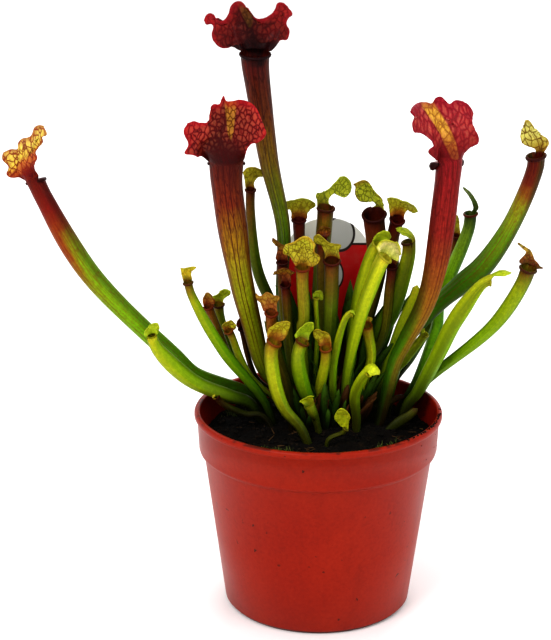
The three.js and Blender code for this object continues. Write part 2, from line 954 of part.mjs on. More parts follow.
// A tube with a hollow top, a lip that flares round the mouth, and the hood that grows from its back.
function buildPitcher(leaf) {
  const line = stemLine(leaf);
  const last = line.stations[stemSteps];
  const tilt = mouthTilt(leaf);
  const rings = stemRings(leaf, line);
  rings.push(ring(line, 1, leaf.mouth + lipFlare, { tilt, lift: -lipDrop }));
  rings.push(ring(line, 1, leaf.mouth + 0.4 * lipFlare, { tilt }));
  const hollow = Math.min(deepestHollow, (hollowLength * leaf.mouth) / line.length);
  const inside = [
    ring(line, 1 - hollow, 0.5 * (leaf.mouth - leafWall), {}),
    ring(line, 1, leaf.mouth - leafWall, { tilt, lift: -lipDrop }),
    ring(line, 1, leaf.mouth - 0.7 * leafWall, { tilt, lift: leafWall }),
  ];
  const tube = loft(rings, leaf.sides).subtract(loft(inside, leaf.sides));
  return tube.add(buildHood(leaf, last));
}

// A closed spindle that ends in a blunt point, with a blade at the end where the leaf has one.
function buildYoungLeaf(leaf) {
  const line = stemLine(leaf);
  const spindle = loft(stemRings(leaf, line), leaf.sides);
  return leaf.hood ? spindle.add(buildHood(leaf, line.stations[stemSteps])) : spindle;
}

// Rounded plate on a tapering spike.
function buildTag() {
  const shape = new THREE.Shape();
  const half = tagWidth / 2;
  const foot = tagTop - tagHeight;
  shape.moveTo(0, spikeBottom);
  shape.lineTo(spikeWidth / 2, spikeBottom + spikePoint);
  shape.lineTo(spikeWidth / 2, foot - spikeShoulder);
  shape.quadraticCurveTo(half, foot, half, foot + tagCorner);
  shape.quadraticCurveTo(half, tagTop, 0, tagTop);
  shape.quadraticCurveTo(-half, tagTop, -half, foot + tagCorner);
  shape.quadraticCurveTo(-half, foot, -spikeWidth / 2, foot - spikeShoulder);
  shape.lineTo(-spikeWidth / 2, spikeBottom + spikePoint);
  const options = { depth: tagThickness, bevelEnabled: false, curveSegments: 6 };
  const plate = new THREE.ExtrudeGeometry(shape, options);
  return solidOf(plate.rotateX(Math.PI / 2).translate(tagX, tagY + tagThickness, 0));
}

// The slot in the soil that the tag's spike stands in.
function tagHole() {
  const tall = 2 * (soilLevel - spikeBottom);
  const slot = new THREE.BoxGeometry(spikeWidth + 2 * fitGap, tagThickness + 2 * fitGap, tall);
  return solidOf(slot.translate(tagX, tagY + tagThickness / 2, spikeBottom - fitGap + tall / 2));
}

// How finely a leaf is faceted: the large pitchers most, and those with a tiny hood least.
const large = { sides: 9, bands: 9, cellsAcross: 8, cellsAlong: 8 };
const small = { sides: 6, bands: 5, cellsAcross: 4, cellsAlong: 3 };
const tiny = { sides: 5, bands: 4, cellsAcross: 2, cellsAlong: 3 };
const tinyHood = 6;
const pitchers = [
  ...largePitchers.map((leaf) => ({ ...large, ...leaf })),
  ...smallPitchers.map((leaf) => ({ ...(leaf.hood.long < tinyHood ? tiny : small), ...leaf })),
];
const young = youngLeaves.map((leaf) => ({ ...small, ...leaf }));

const plant = new THREE.Group();
plant.add(meshOf(buildPot(), "pot", "terracotta"));
plant.add(meshOf(buildSoil([...pitchers, ...young].map(stemHole).concat(tagHole())), "soil", "peat"));
plant.add(meshOf(buildTag(), "plant_tag", "card"));
for (const leaf of pitchers) plant.add(meshOf(buildPitcher(leaf), leaf.name, leaf.finish));
for (const leaf of young) plant.add(meshOf(buildYoungLeaf(leaf), leaf.name, leaf.finish));

export default plant;
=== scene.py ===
import math
import random
import bmesh
import bpy
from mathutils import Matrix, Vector, geometry, noise


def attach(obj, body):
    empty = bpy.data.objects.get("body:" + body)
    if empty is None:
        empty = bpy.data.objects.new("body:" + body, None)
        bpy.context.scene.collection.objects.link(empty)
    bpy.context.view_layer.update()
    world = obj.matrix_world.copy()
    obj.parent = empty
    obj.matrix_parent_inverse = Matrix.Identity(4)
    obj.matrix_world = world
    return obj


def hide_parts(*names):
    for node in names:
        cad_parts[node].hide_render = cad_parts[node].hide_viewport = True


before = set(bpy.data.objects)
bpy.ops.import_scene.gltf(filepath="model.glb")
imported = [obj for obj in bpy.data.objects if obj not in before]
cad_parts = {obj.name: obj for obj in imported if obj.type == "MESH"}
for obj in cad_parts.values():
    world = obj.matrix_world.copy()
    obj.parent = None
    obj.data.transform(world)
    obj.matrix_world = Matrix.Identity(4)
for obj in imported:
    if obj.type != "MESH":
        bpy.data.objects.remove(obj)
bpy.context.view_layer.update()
print("frame loaded:", len(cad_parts), "nodes")

# Potted pitcher plant. Settings are in millimetres with +Z up and the viewer at -Y, as in the frame, and
# every mesh is scaled to metres when it is finished.
mm = 0.001


# Small helpers for node materials. A value is a number, a colour or the output socket of another node, and a
# helper finds the node tree from its values.
def paint(code):
    parts = [int(code[i:i + 2], 16) / 255 for i in (0, 2, 4)]
    return tuple(c / 12.92 if c < 0.04 else ((c + 0.055) / 1.055) ** 2.4 for c in parts) + (1.0,)


def newMaterial(name, roughness, specular=0.5):
    material = bpy.data.materials.new(name)
    material.use_nodes = True
    shader = material.node_tree.nodes["Principled BSDF"]
    shader.inputs["Roughness"].default_value = roughness
    shader.inputs["Specular IOR Level"].default_value = specular
    return material, material.node_tree, shader


def isSocket(value):
    return isinstance(value, bpy.types.NodeSocket)


def plug(socket, value):
    if isSocket(value):
        socket.id_data.links.new(value, socket)
    else:
        socket.default_value = value


def treeOf(values):
    return next(value for value in values if isSocket(value)).id_data


def newNode(kind, *values):  # in the tree that the values come from, with the values in its first inputs
    step = treeOf(values).nodes.new(kind)
    for socket, value in zip(step.inputs, values):
        plug(socket, value)
    return step


def maths(operation, first, second=0.0):
    step = newNode("ShaderNodeMath", first, second)
    step.operation = operation
    return step.outputs[0]


def times(first, second):
    return maths("MULTIPLY", first, second)


def plus(first, second):
    return maths("ADD", first, second)


def minus(first, second):
    return maths("SUBTRACT", first, second)


def spread(value, low, high, outLow=0.0, outHigh=1.0):  # eased from low to high, and held past them
    step = newNode("ShaderNodeMapRange", value, low, high, outLow, outHigh)
    step.interpolation_type = "SMOOTHSTEP"
    return step.outputs[0]


def mixed(amount, first, second, blend="MIX"):
    step = treeOf((amount, first, second)).nodes.new("ShaderNodeMix")
    step.data_type = "RGBA"
    step.blend_type = blend
    for index, value in ((0, amount), (6, first), (7, second)):
        plug(step.inputs[index], value)
    return step.outputs[2]


def tinted(colour, tint):
    return mixed(1.0, colour, tint, "MULTIPLY")


def ramped(factor, stops):
    step = newNode("ShaderNodeValToRGB", factor)
    band = step.color_ramp.elements
    while len(band) < len(stops):
        band.new(0.5)
    for element, (place, code) in zip(band, stops):
        element.position = place
        element.color = paint(code)
    return step.outputs[0]


def grain(vector, scale, detail=3.0, roughness=0.55):
    step = newNode("ShaderNodeTexNoise", vector)
    step.inputs["Detail"].default_value = detail
    step.inputs["Roughness"].default_value = roughness
    step.inputs["Scale"].default_value = scale
    return step.outputs["Fac"]


def cellEdges(vector, scale):
    step = newNode("ShaderNodeTexVoronoi", vector)
    step.feature = "DISTANCE_TO_EDGE"
    step.inputs["Scale"].default_value = scale
    return step.outputs["Distance"]


def objectPlace(tree):
    return tree.nodes.new("ShaderNodeTexCoord").outputs["Object"]


def attribute(tree, name, output="Vector"):
    step = tree.nodes.new("ShaderNodeAttribute")
    step.attribute_name = name
    return step.outputs[output]


def axes(vector):
    return newNode("ShaderNodeSeparateXYZ", vector).outputs


def stretched(vector, scale):
    step = newNode("ShaderNodeMapping", vector)
    step.inputs["Scale"].default_value = scale
    return step.outputs[0]


def bumped(shader, height, strength, depth):
    step = shader.id_data.nodes.new("ShaderNodeBump")
    step.inputs["Strength"].default_value = strength
    step.inputs["Distance"].default_value = depth
    plug(step.inputs["Height"], height)
    plug(shader.inputs["Normal"], step.outputs[0])


# Helpers for meshes and objects.
def meshOf(bm, name):
    mesh = bpy.data.meshes.new(name)
    bm.to_mesh(mesh)
    bm.free()
    return mesh


def addObject(name, data):
    thing = bpy.data.objects.new(name, data)
    bpy.context.scene.collection.objects.link(thing)
    return thing


# Makes a piece of a bmesh in millimetres: smooth, in metres, riding on the frame.
def finishPiece(bm, name, material, nodes=()):
    bmesh.ops.scale(bm, vec=(mm, mm, mm), verts=bm.verts)
    mesh = meshOf(bm, name)
    mesh.shade_smooth()
    mesh.materials.append(material)
    piece = addObject(name, mesh)
    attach(piece, "root")
    if nodes:
        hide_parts(*nodes)
    return piece


# Turns a profile of (radius, height) pairs round the Z axis.
def turned(bm, profile, steps):
    row = [bm.verts.new((radius, 0, height)) for radius, height in profile]
    line = [bm.edges.new(pair) for pair in zip(row, row[1:])]
    bmesh.ops.spin(bm, geom=row + line, axis=(0, 0, 1), cent=(0, 0, 0), angle=2 * math.pi, steps=steps,
                   use_merge=True)
    bmesh.ops.remove_doubles(bm, verts=bm.verts, dist=0.001)
    bmesh.ops.recalc_face_normals(bm, faces=bm.faces)


# Pot: thin red plastic with a collar, a rolled lip and drain holes.
potSet = dict(rim=90, height=74, base=34, wall=1.1, lip=2.6, lipRound=0.35, overhang=1, collar=14.5,
              collarStep=1.8, collarTaper=0.6, floor=1.5, recess=0.7, footWidth=2, footEdge=1.2, footRise=1.5,
              holes=6, hole=3.2, holeSides=32, holeDepth=8, holeCircle=20.4, steps=160,
              colour="8c1c07", pale="9a280e", shade="6c1405", light="b03c1c", dirt="1c120c",
              footDarkBand=(0.2, 1.6), lipDirt=(73.2, 73.8))

rimRadius = potSet["rim"] / 2
collarTop = rimRadius - potSet["overhang"]
collarLow = collarTop - potSet["collarTaper"]
collarBottom = potSet["height"] - potSet["collar"]
bodyTopRadius = collarLow - potSet["collarStep"]
bodyTop = collarBottom - potSet["collarStep"]


def bodyRadius(height):
    return potSet["base"] + (bodyTopRadius - potSet["base"]) * height / bodyTop


# From the middle of the foot, up the outside, over the lip and down the inside. Small steps soften corners.
def potProfile():
    wall, floor, top, soft = potSet["wall"], potSet["floor"], potSet["height"], potSet["lipRound"]
    lipBottom = top - potSet["lip"]
    footOut = potSet["base"] - potSet["footEdge"]
    footIn = footOut - potSet["footWidth"]
    return [
        (0, potSet["recess"]), (footIn - 0.8, potSet["recess"]), (footIn, 0), (footOut, 0),
        (bodyRadius(potSet["footRise"]), potSet["footRise"]), (bodyRadius(bodyTop / 2), bodyTop / 2),
        (bodyTopRadius, bodyTop), (bodyTopRadius + 0.5, bodyTop + 0.9), (collarLow - 0.3, collarBottom - 0.4),
        (collarLow, collarBottom + 0.6), (collarTop, lipBottom), (rimRadius - soft, lipBottom + 0.15),
        (rimRadius, lipBottom + 0.8), (rimRadius, top - 0.9), (rimRadius - soft, top - 0.2),
        (rimRadius - 1, top), (collarTop - wall + 0.2, top - 0.15), (collarTop - wall, top - 0.7),
        (collarTop - wall, lipBottom), (collarLow - wall, collarBottom + 1), (bodyTopRadius - wall, bodyTop),
        (bodyRadius(floor + 2) - wall, floor + 2), (bodyRadius(floor) - wall - 1.5, floor), (0, floor),
    ]


def potMaterial():
    material, tree, shader = newMaterial("redPlastic", 0.34, 0.2)
    shade, dirt = paint(potSet["shade"]), paint(potSet["dirt"])
    place = objectPlace(tree)
    height = axes(place)["Z"]
    cloudy = grain(place, 28, 3)
    colour = mixed(spread(cloudy, 0.3, 0.75, 0.2, 0.8), paint(potSet["colour"]), paint(potSet["pale"]))
    streaky = grain(stretched(place, (1, 1, 0.12)), 160, 3)
    colour = mixed(spread(streaky, 0.5, 0.8, 0, 0.25), colour, shade)
    mottled = grain(place, 760, 3, 0.7)
    colour = mixed(spread(mottled, 0.5, 0.62, 0, 0.2), colour, shade)
    colour = mixed(spread(mottled, 0.36, 0.46, 0.12, 0), colour, paint(potSet["light"]))
    specks = spread(grain(place, 420, 2), 0.69, 0.72, 0, 0.8)  # crumbs of peat dust
    patches = spread(grain(place, 55, 2), 0.5, 0.62)
    colour = mixed(times(specks, patches), colour, dirt)
    footLow, footHigh = potSet["footDarkBand"]
    lipLow, lipHigh = potSet["lipDirt"]
    # The foot is drawn darker over its lowest 1.6 mm.
    foot = spread(height, footLow * mm, footHigh * mm, 0.75, 0)
    lip = spread(height, lipLow * mm, lipHigh * mm, 0, 0.6)
    soiled = times(lip, spread(grain(place, 95, 3), 0.5, 0.6))
    colour = mixed(maths("MAXIMUM", foot, soiled), colour, dirt)
    plug(shader.inputs["Base Color"], colour)
    plug(shader.inputs["Roughness"], spread(cloudy, 0.2, 0.8, 0.3, 0.42))
    shader.inputs["Subsurface Weight"].default_value = 0.06
    shader.inputs["Subsurface Scale"].default_value = 0.002
    bumped(shader, grain(place, 900, 2), 0.12, 0.00015)
    return material


def buildPot():
    bm = bmesh.new()
    turned(bm, potProfile(), potSet["steps"])
    piece = finishPiece(bm, "pot_shell", potMaterial(), ["pot"])
    cutters = bmesh.new()
    wide = potSet["hole"]
    for hole in range(potSet["holes"]):
        made = bmesh.ops.create_cone(cutters, cap_ends=True, segments=potSet["holeSides"], radius1=wide,
                                     radius2=wide, depth=potSet["holeDepth"])
        angle = 2 * math.pi * hole / potSet["holes"]
        place = Vector((math.cos(angle), math.sin(angle), 0)) * potSet["holeCircle"]
        bmesh.ops.translate(cutters, vec=place, verts=made["verts"])
    bmesh.ops.scale(cutters, vec=(mm, mm, mm), verts=cutters.verts)
    cutter = addObject("drainCutters", meshOf(cutters, "drainCutters"))
    cut = piece.modifiers.new("drains", "BOOLEAN")
    cut.operation = "DIFFERENCE"
    cut.object = cutter
    bpy.context.view_layer.update()
    holed = bpy.data.meshes.new_from_object(piece.evaluated_get(bpy.context.evaluated_depsgraph_get()))
    piece.modifiers.clear()
    piece.data = holed
    bpy.data.objects.remove(cutter)


# Soil: peat that fills the pot to its collar, with crumbs, bits of bark and moss on top.
soilSet = dict(level=63.5, crown=3, crownX=3, crownY=12, lumps=0.5, rings=84, steps=150, rough=0.9, gap=0.4,
               under=0.3, seed=41, peat="070503", brown="120c07", fibre="291d10", bark="6c5132",
               mossDark="39441c", mossLight="747f40")
crumbSet = dict(count=900, size=(0.25, 0.95), large=1.35, largeShare=0.1, fromRim=1.2,
                lipCount=46, lipAngle=(-0.35, 0.3), lipSize=(0.15, 0.42),
                dustCount=16, dustAngle=(-0.3, 0.35), dustSize=(0.12, 0.3), dustDrop=(12, 3))
barkSet = dict(count=90, length=(1.5, 5), thick=(0.12, 0.3), fromRim=4)
mossSet = dict(count=90, tall=(0.8, 2.8), thick=0.26, thin=0.04, lean=0.5, fromRim=2.5,
               patches=((-21, -17, 2.6), (-15, -19, 2.6), (25, -15, 2.2), (-30, 20, 3), (12, 36, 3)))


def soilHeight(x, y):
    fromCrown = math.hypot(x - soilSet["crownX"], y - soilSet["crownY"]) / collarTop
    mound = soilSet["crown"] * math.exp(-3 * fromCrown * fromCrown)
    lumps = math.sin(0.31 * x + 1.3) * math.cos(0.27 * y) + 0.6 * math.sin(0.53 * y - 0.41 * x)
    return soilSet["level"] + mound + soilSet["lumps"] * lumps


def soilSurface(x, y):
    fine = noise.fractal(Vector((x, y, 0)) * 0.35, 0.6, 2.1, 5)
    pits = noise.noise(Vector((x, y, 9)) * 0.16)
    return soilHeight(x, y) + soilSet["rough"] * (0.7 * fine + 0.6 * pits)


def soilMaterial():
    material, tree, shader = newMaterial("peat", 0.95, 0.25)
    place = objectPlace(tree)
    clods = grain(place, 260, 5, 0.7)
    colour = ramped(clods, ((0.3, soilSet["peat"]), (0.55, soilSet["brown"]), (0.75, soilSet["fibre"])))
    plug(shader.inputs["Base Color"], colour)
    bumped(shader, grain(place, 900, 4, 0.7), 0.8, 0.0005)
    return material


def bitMaterial(name, dark, light):
    material, tree, shader = newMaterial(name, 0.9, 0.3)
    shade = mixed(attribute(tree, "tint", "Fac"), paint(dark), paint(light))
    mottle = grain(objectPlace(tree), 700, 2)
    plug(shader.inputs["Base Color"], mixed(spread(mottle, 0.4, 0.7, 0, 0.5), shade, paint(dark)))
    return material


def buildSoil():
    inset = potSet["wall"] + soilSet["gap"]
    edge = collarLow - inset
    floor = potSet["floor"] + soilSet["under"]
    rings = [(edge * (1 - ring / soilSet["rings"]), soilSet["level"]) for ring in range(soilSet["rings"] + 1)]
    profile = [(0, floor), (bodyRadius(floor) - inset - 1.6, floor), (bodyTopRadius - inset, bodyTop - 0.4),
               (edge, collarBottom + 1.5)] + rings
    bm = bmesh.new()
    turned(bm, profile, soilSet["steps"])
    for vert in bm.verts:
        if vert.co.z > soilSet["level"] - 0.01:
            vert.co.z = soilSurface(vert.co.x, vert.co.y)
    finishPiece(bm, "soil_bed", soilMaterial(), ["soil"])


def newBits(seedStep):  # a mesh for loose bits, with a shade for each, and their random draws
    bm = bmesh.new()
    return bm, bm.verts.layers.float.new("tint"), random.Random(soilSet["seed"] + seedStep)


# Lays one squashed and dented lump on a point, with its own shade.
def addLump(bm, tint, draw, place, size, flat=0.6):
    made = bmesh.ops.create_icosphere(bm, subdivisions=1, radius=size)
    turn = draw.random() * 2 * math.pi
    long = draw.uniform(0.8, 1.5)
    shade = draw.random() ** 2
    for vert in made["verts"]:
        bump = 1 + 0.35 * noise.noise(vert.co * 2 / size + Vector((turn, long, 3)))
        x, y, z = vert.co * bump
        vert.co = Vector((x * long * math.cos(turn) - y * math.sin(turn),
                          x * long * math.sin(turn) + y * math.cos(turn), z * flat)) + place
        vert[tint] = shade


# Lays one thin cone about a point, along a way, with its own shade.
def addSpike(bm, tint, draw, place, way, sides, thick, thin, length):
    made = bmesh.ops.create_cone(bm, cap_ends=True, segments=sides, radius1=thick, radius2=thin, depth=length)
    turnTo = way.to_track_quat("Z", "Y").to_matrix()
    shade = draw.random()
    for vert in made["verts"]:
        vert.co = turnTo @ vert.co + place
        vert[tint] = shade


def onSoil(draw, reach, lift):
    angle = draw.random() * 2 * math.pi
    radius = reach * math.sqrt(draw.random())
    x, y = radius * math.cos(angle), radius * math.sin(angle)
    return Vector((x, y, soilSurface(x, y) + lift))


def onCircle(radius, angle, height):
    return Vector((radius * math.cos(angle), radius * math.sin(angle), height))


def buildCrumbs():
    bm, tint, draw = newBits(0)
    edge = collarLow - potSet["wall"] - crumbSet["fromRim"]
    top = potSet["height"]
    for _ in range(crumbSet["count"]):
        size = draw.uniform(*crumbSet["size"])
        size *= crumbSet["large"] if draw.random() < crumbSet["largeShare"] else 1
        addLump(bm, tint, draw, onSoil(draw, edge, 0.15), size)
    for _ in range(crumbSet["lipCount"]):  # crumbs that fell on the lip, most of them on its right side
        angle = draw.gauss(*crumbSet["lipAngle"])
        radius = rimRadius - 0.9 + draw.uniform(-0.5, 0.4)
        addLump(bm, tint, draw, onCircle(radius, angle, top + 0.05), draw.uniform(*crumbSet["lipSize"]), 0.8)
    lowest, highest = (top - drop for drop in crumbSet["dustDrop"])
    for _ in range(crumbSet["dustCount"]):  # dust that hangs on the outside under the lip
        angle = draw.gauss(*crumbSet["dustAngle"])
        height = draw.uniform(lowest, highest)
        radius = collarTop - potSet["collarTaper"] * (top - height) / potSet["collar"]
        addLump(bm, tint, draw, onCircle(radius, angle, height), draw.uniform(*crumbSet["dustSize"]), 0.9)
    finishPiece(bm, "soil_crumbs", bitMaterial("peatCrumbs", soilSet["peat"], soilSet["fibre"]))


def buildBark():
    bm, tint, draw = newBits(1)
    for _ in range(barkSet["count"]):  # short splinters of bark and root
        place = onSoil(draw, collarLow - barkSet["fromRim"], 0.35)
        length, thick = draw.uniform(*barkSet["length"]), draw.uniform(*barkSet["thick"])
        turn, tip = draw.random() * 2 * math.pi, draw.uniform(-0.3, 0.5)
        way = Vector((math.cos(turn), math.sin(turn), tip)).normalized()
        addSpike(bm, tint, draw, place, way, 6, thick, thick * 0.5, length)
    finishPiece(bm, "soil_bark", bitMaterial("barkBits", soilSet["brown"], soilSet["bark"]))


def buildMoss():
    bm, tint, draw = newBits(2)
    for patchX, patchY, spreadOut in mossSet["patches"]:
        for _ in range(mossSet["count"]):
            x, y = draw.gauss(patchX, spreadOut), draw.gauss(patchY, spreadOut * 0.5)
            if math.hypot(x, y) > collarLow - mossSet["fromRim"]:
                continue
            tall = draw.uniform(*mossSet["tall"])
            way = Vector((draw.gauss(0, mossSet["lean"]), draw.gauss(0, mossSet["lean"]), 1)).normalized()
            place = Vector((x, y, soilSurface(x, y) + 0.35 * tall))
            addSpike(bm, tint, draw, place, way, 4, mossSet["thick"], mossSet["thin"], tall)
    finishPiece(bm, "soil_moss", bitMaterial("moss", soilSet["mossDark"], soilSet["mossLight"]))


# Tag: a plain rounded plastic tag on a spike, red with a pale head, two plain oval panels and dark edges.
tagSet = dict(width=38, height=46, thick=0.9, x=4, y=34.5, top=136, corner=14, spike=9, spikeBottom=47,
              point=16, shoulder=8, headLine=126, line=(0.3, 0.5), border=1.1, edge=0.2, steps=24,
              ovals=((8.6, 130, 5.2, 6.6), (6.5, 114, 3.4, 5.6)),
              red="d4161c", pale="f2f2ee", panel="c9cac8", dark="241414", worn="d8d0c8")


def curveTo(points, control, end, steps):
    start = Vector(points[-1])
    for step in range(1, steps + 1):
        t = step / steps
        points.append(start * (1 - t) ** 2 + Vector(control) * 2 * t * (1 - t) + Vector(end) * t * t)


def tagMaterial():
    material, tree, shader = newMaterial("tagPlastic", 0.38)
    place = objectPlace(tree)
    across, _, height = axes(place)
    head = spread(height, (tagSet["headLine"] - 0.1) * mm, (tagSet["headLine"] + 0.1) * mm)
    colour = mixed(head, paint(tagSet["red"]), paint(tagSet["pale"]))
    offLine = maths("ABSOLUTE", minus(height, tagSet["headLine"] * mm))
    thin, wide = tagSet["line"]
    line = spread(offLine, thin * mm, wide * mm, 1, 0)
    dark = maths("MAXIMUM", line, spread(attribute(tree, "border", "Fac"), 0.55, 0.75))
    for ovalX, ovalZ, wide, tall in tagSet["ovals"]:
        x = maths("DIVIDE", minus(across, ovalX * mm), wide * mm)
        z = maths("DIVIDE", minus(height, ovalZ * mm), tall * mm)
        reach = maths("SQRT", plus(times(x, x), times(z, z)))
        colour = mixed(spread(reach, 0.97, 1.0, 1, 0), colour, paint(tagSet["panel"]))
        ring = spread(maths("ABSOLUTE", minus(reach, 1.0)), 0.07, 0.1, 1, 0)
        dark = times(maths("MAXIMUM", dark, ring), spread(reach, 0.9, 0.94))
    colour = mixed(dark, colour, paint(tagSet["dark"]))
    worn = spread(grain(place, 300, 3), 0.45, 0.75, 0, 0.05)
    plug(shader.inputs["Base Color"], mixed(worn, colour, paint(tagSet["worn"])))
    bumped(shader, grain(place, 700, 2), 0.1, 0.0001)
    return material


def buildTag():
    half, foot, spike = tagSet["width"] / 2, tagSet["top"] - tagSet["height"], tagSet["spike"] / 2
    points = [Vector((0, tagSet["spikeBottom"])), Vector((spike, tagSet["spikeBottom"] + tagSet["point"])),
              Vector((spike, foot - tagSet["shoulder"]))]
    curveTo(points, (half, foot), (half, foot + tagSet["corner"]), tagSet["steps"])
    curveTo(points, (half, tagSet["top"]), (0, tagSet["top"]), tagSet["steps"])
    mirrored = [Vector((-x, z)) for x, z in reversed(points[1:-1])]
    bm = bmesh.new()
    border = bm.verts.layers.float.new("border")
    face = bm.faces.new([bm.verts.new((tagSet["x"] + x, tagSet["y"] + tagSet["thick"], z))
                         for x, z in points + mirrored])
    for vert in bm.verts:
        vert[border] = 1
    bmesh.ops.inset_region(bm, faces=[face], thickness=tagSet["border"], use_even_offset=True)
    for vert in face.verts:
        vert[border] = 0
    bmesh.ops.solidify(bm, geom=bm.faces[:], thickness=tagSet["thick"])
    bmesh.ops.recalc_face_normals(bm, faces=bm.faces)
    piece = finishPiece(bm, "tag_plate", tagMaterial(), ["plant_tag"])
    piece.data.shade_flat()
    rounded = piece.modifiers.new("edges", "BEVEL")
    rounded.width = tagSet["edge"] * mm
    rounded.segments = 2
    rounded.limit_method = "ANGLE"


buildPot()
print("pot done")
buildSoil()
buildCrumbs()
buildBark()
buildMoss()
print("soil done")
buildTag()
print("tag done")


# Leaves. Each is one skin: rings along the stem's line, a lip that rolls out round the front of the mouth,
# and a hood that grows on from its back. leafCo holds across, along (0 root, 1 mouth, 2 tip) and around
# (0 front, 1 back), leafMarks the nearness to the hood's rim and the lip, leafNet the place in the hood's net
# of veins, and leafStripe the nearness to the pale band over the hood.
details = dict(
    large=dict(sides=144, bands=80, hoodRows=64, skin=0.5),
    medium=dict(sides=64, bands=50, hoodRows=30, skin=0.4),
    small=dict(sides=40, bands=40, hoodRows=22, skin=0.35),
)
leafSet = dict(rootDepth=8, facing=-90, taper=0.6, uneven=0.05, wander=0.5, mouthFlare=0.07, tilt=0.25,
               keel=0.25, wing=1.6, wingPower=26, lip=0.35, lipFlare=0.9,
               arc=1.35, lean=(-5, 40), cup=0.02, ruffle=0.3, waves=1.5, frill=0.3, frills=8,
               cell=2, bulge=0.2, outlineSteps=60, outlineEase=12)
lipRoll = ((0.3, 0.2), (0.62, 0.12), (0.75, -0.2), (0.62, -0.6), (0.38, -0.7))  # flare and lift of each row
smallHoodOutline = (0.7, 1, 1, 0.85, 0.3)  # half width on the way up, as a share of the widest


# A smooth line through the points, the same as the frame's, resampled at even steps.
def smoothPath(points, steps):
    ends = [2 * points[0] - points[1]] + points + [2 * points[-1] - points[-2]]
    dense = [points[0]]
    for before, start, stop, after in zip(ends, ends[1:], ends[2:], ends[3:]):
        into, span, out = ((b - a).length ** 0.5 for a, b in ((before, start), (start, stop), (stop, after)))
        leave = ((start - before) / into - (stop - before) / (into + span) + (stop - start) / span) * span
        arrive = ((stop - start) / span - (after - start) / (span + out) + (after - stop) / out) * span
        dense += geometry.interpolate_bezier(start, start + leave / 3, stop - arrive / 3, stop, 25)[1:]
    lengths = [0.0]
    for a, b in zip(dense, dense[1:]):
        lengths.append(lengths[-1] + (b - a).length)
    line, index = [], 0
    for step in range(steps + 1):
        target = lengths[-1] * step / steps
        while index < len(dense) - 2 and lengths[index + 1] < target:
            index += 1
        part = (target - lengths[index]) / (lengths[index + 1] - lengths[index])
        line.append(dense[index].lerp(dense[index + 1], part))
    return line


# Centre, way along, way that the leaf faces and way across, at even steps from the root to the mouth.
def leafLine(leaf, steps):
    rootX, rootY = leaf["root"]
    root = Vector((rootX, rootY, soilHeight(rootX, rootY) - leafSet["rootDepth"]))
    centres = smoothPath([root] + [Vector(point) for point in leaf["path"]], steps)
    turn = math.radians(leaf.get("facing", leafSet["facing"]))
    facing = Vector((math.cos(turn), math.sin(turn), 0))
    stations = []
    for index, centre in enumerate(centres):
        along = (centres[min(index + 1, steps)] - centres[max(index - 1, 0)]).normalized()
        facing = (facing - along * facing.dot(along)).normalized()
        stations.append((centre, along, facing, along.cross(facing)))
    return stations


def smoothList(numbers, share):  # an eased value on the way along even stations
    place = min(max(share, 0), 1) * (len(numbers) - 1)
    index = min(int(place), len(numbers) - 2)
    t = place - index
    low, high = numbers[index], numbers[index + 1]
    before, after = numbers[max(index - 1, 0)], numbers[min(index + 2, len(numbers) - 1)]
    leave, arrive = (high - before) / 2, (after - low) / 2
    return (low * (1 + 2 * t) * (1 - t) ** 2 + leave * t * (1 - t) ** 2
            + high * t * t * (3 - 2 * t) + arrive * t * t * (t - 1))


def endRadius(leaf):
    return leaf["radii"][-1] if "radii" in leaf else leaf["end"]


def slantOf(leaf):  # how far the mouth's front is lower than its middle
    return leafSet["tilt"] * leaf.get("slant", 1) * leaf.get("mouth", 0)


def tubeRadius(leaf, share):
    flare = leafSet["mouthFlare"] * leaf.get("mouth", 0) * max(0, share * 12 - 11) ** 2
    if "radii" in leaf:
        return smoothList(leaf["radii"], share) + flare
    grown = leaf["base"] + (leaf["end"] - leaf["base"]) * share ** leafSet["taper"]
    return grown + leaf["belly"] * math.sin(math.pi * share) + flare


def tubePoint(leaf, station, share, turn, seed, extra=0.0, lift=0.0):
    centre, along, facing, across = station
    front, sideways = math.cos(turn), math.sin(turn)
    middle = math.sin(math.pi * share)  # 0 at the root and the mouth
    uneven = 1 + leafSet["uneven"] * noise.noise(Vector((share * 7, seed, front * 0.6)))
    radius = tubeRadius(leaf, share) * uneven + extra
    keel = leafSet["wing"] * leaf.get("keel", leafSet["keel"]) * middle
    wing = keel * max(0, front) ** leafSet["wingPower"]
    tilt = slantOf(leaf) * max(0, 10 * share - 9)
    wobble = (facing * noise.noise(Vector((share * 3, seed, 5)))
              + across * noise.noise(Vector((share * 3, seed, 8))))
    return (centre + facing * (leaf.get("flat", 1) * front * radius + wing) + across * sideways * radius
            + along * (lift - tilt * front) + wobble * leafSet["wander"] * middle)


# The west, top and east lines of a hood that is drawn by its outline, met to the neck at their feet.
def hoodOutline(leaf, arc):
    west, top, east = (leaf["hood"][part] for part in ("west", "top", "east"))
    steps, ease = leafSet["outlineSteps"], leafSet["outlineEase"]
    lines = [smoothPath([Vector((x, y, 0)) for x, y in points], steps)
             for points in (west + top[:1], top, east + top[-1:])]
    neck = tubeRadius(leaf, 1) * math.sin(arc)
    for line, edge in ((lines[0], -neck), (lines[2], neck)):
        shift = Vector((edge, 0, 0)) - line[0]
        for step in range(ease + 1):
            line[step] = line[step] + shift * (1 - step / ease) ** 2
    return lines


def onLine(line, part):
    place = min(max(part, 0), 1) * (len(line) - 1)
    index = min(int(place), len(line) - 2)
    return line[index].lerp(line[index + 1], place - index)


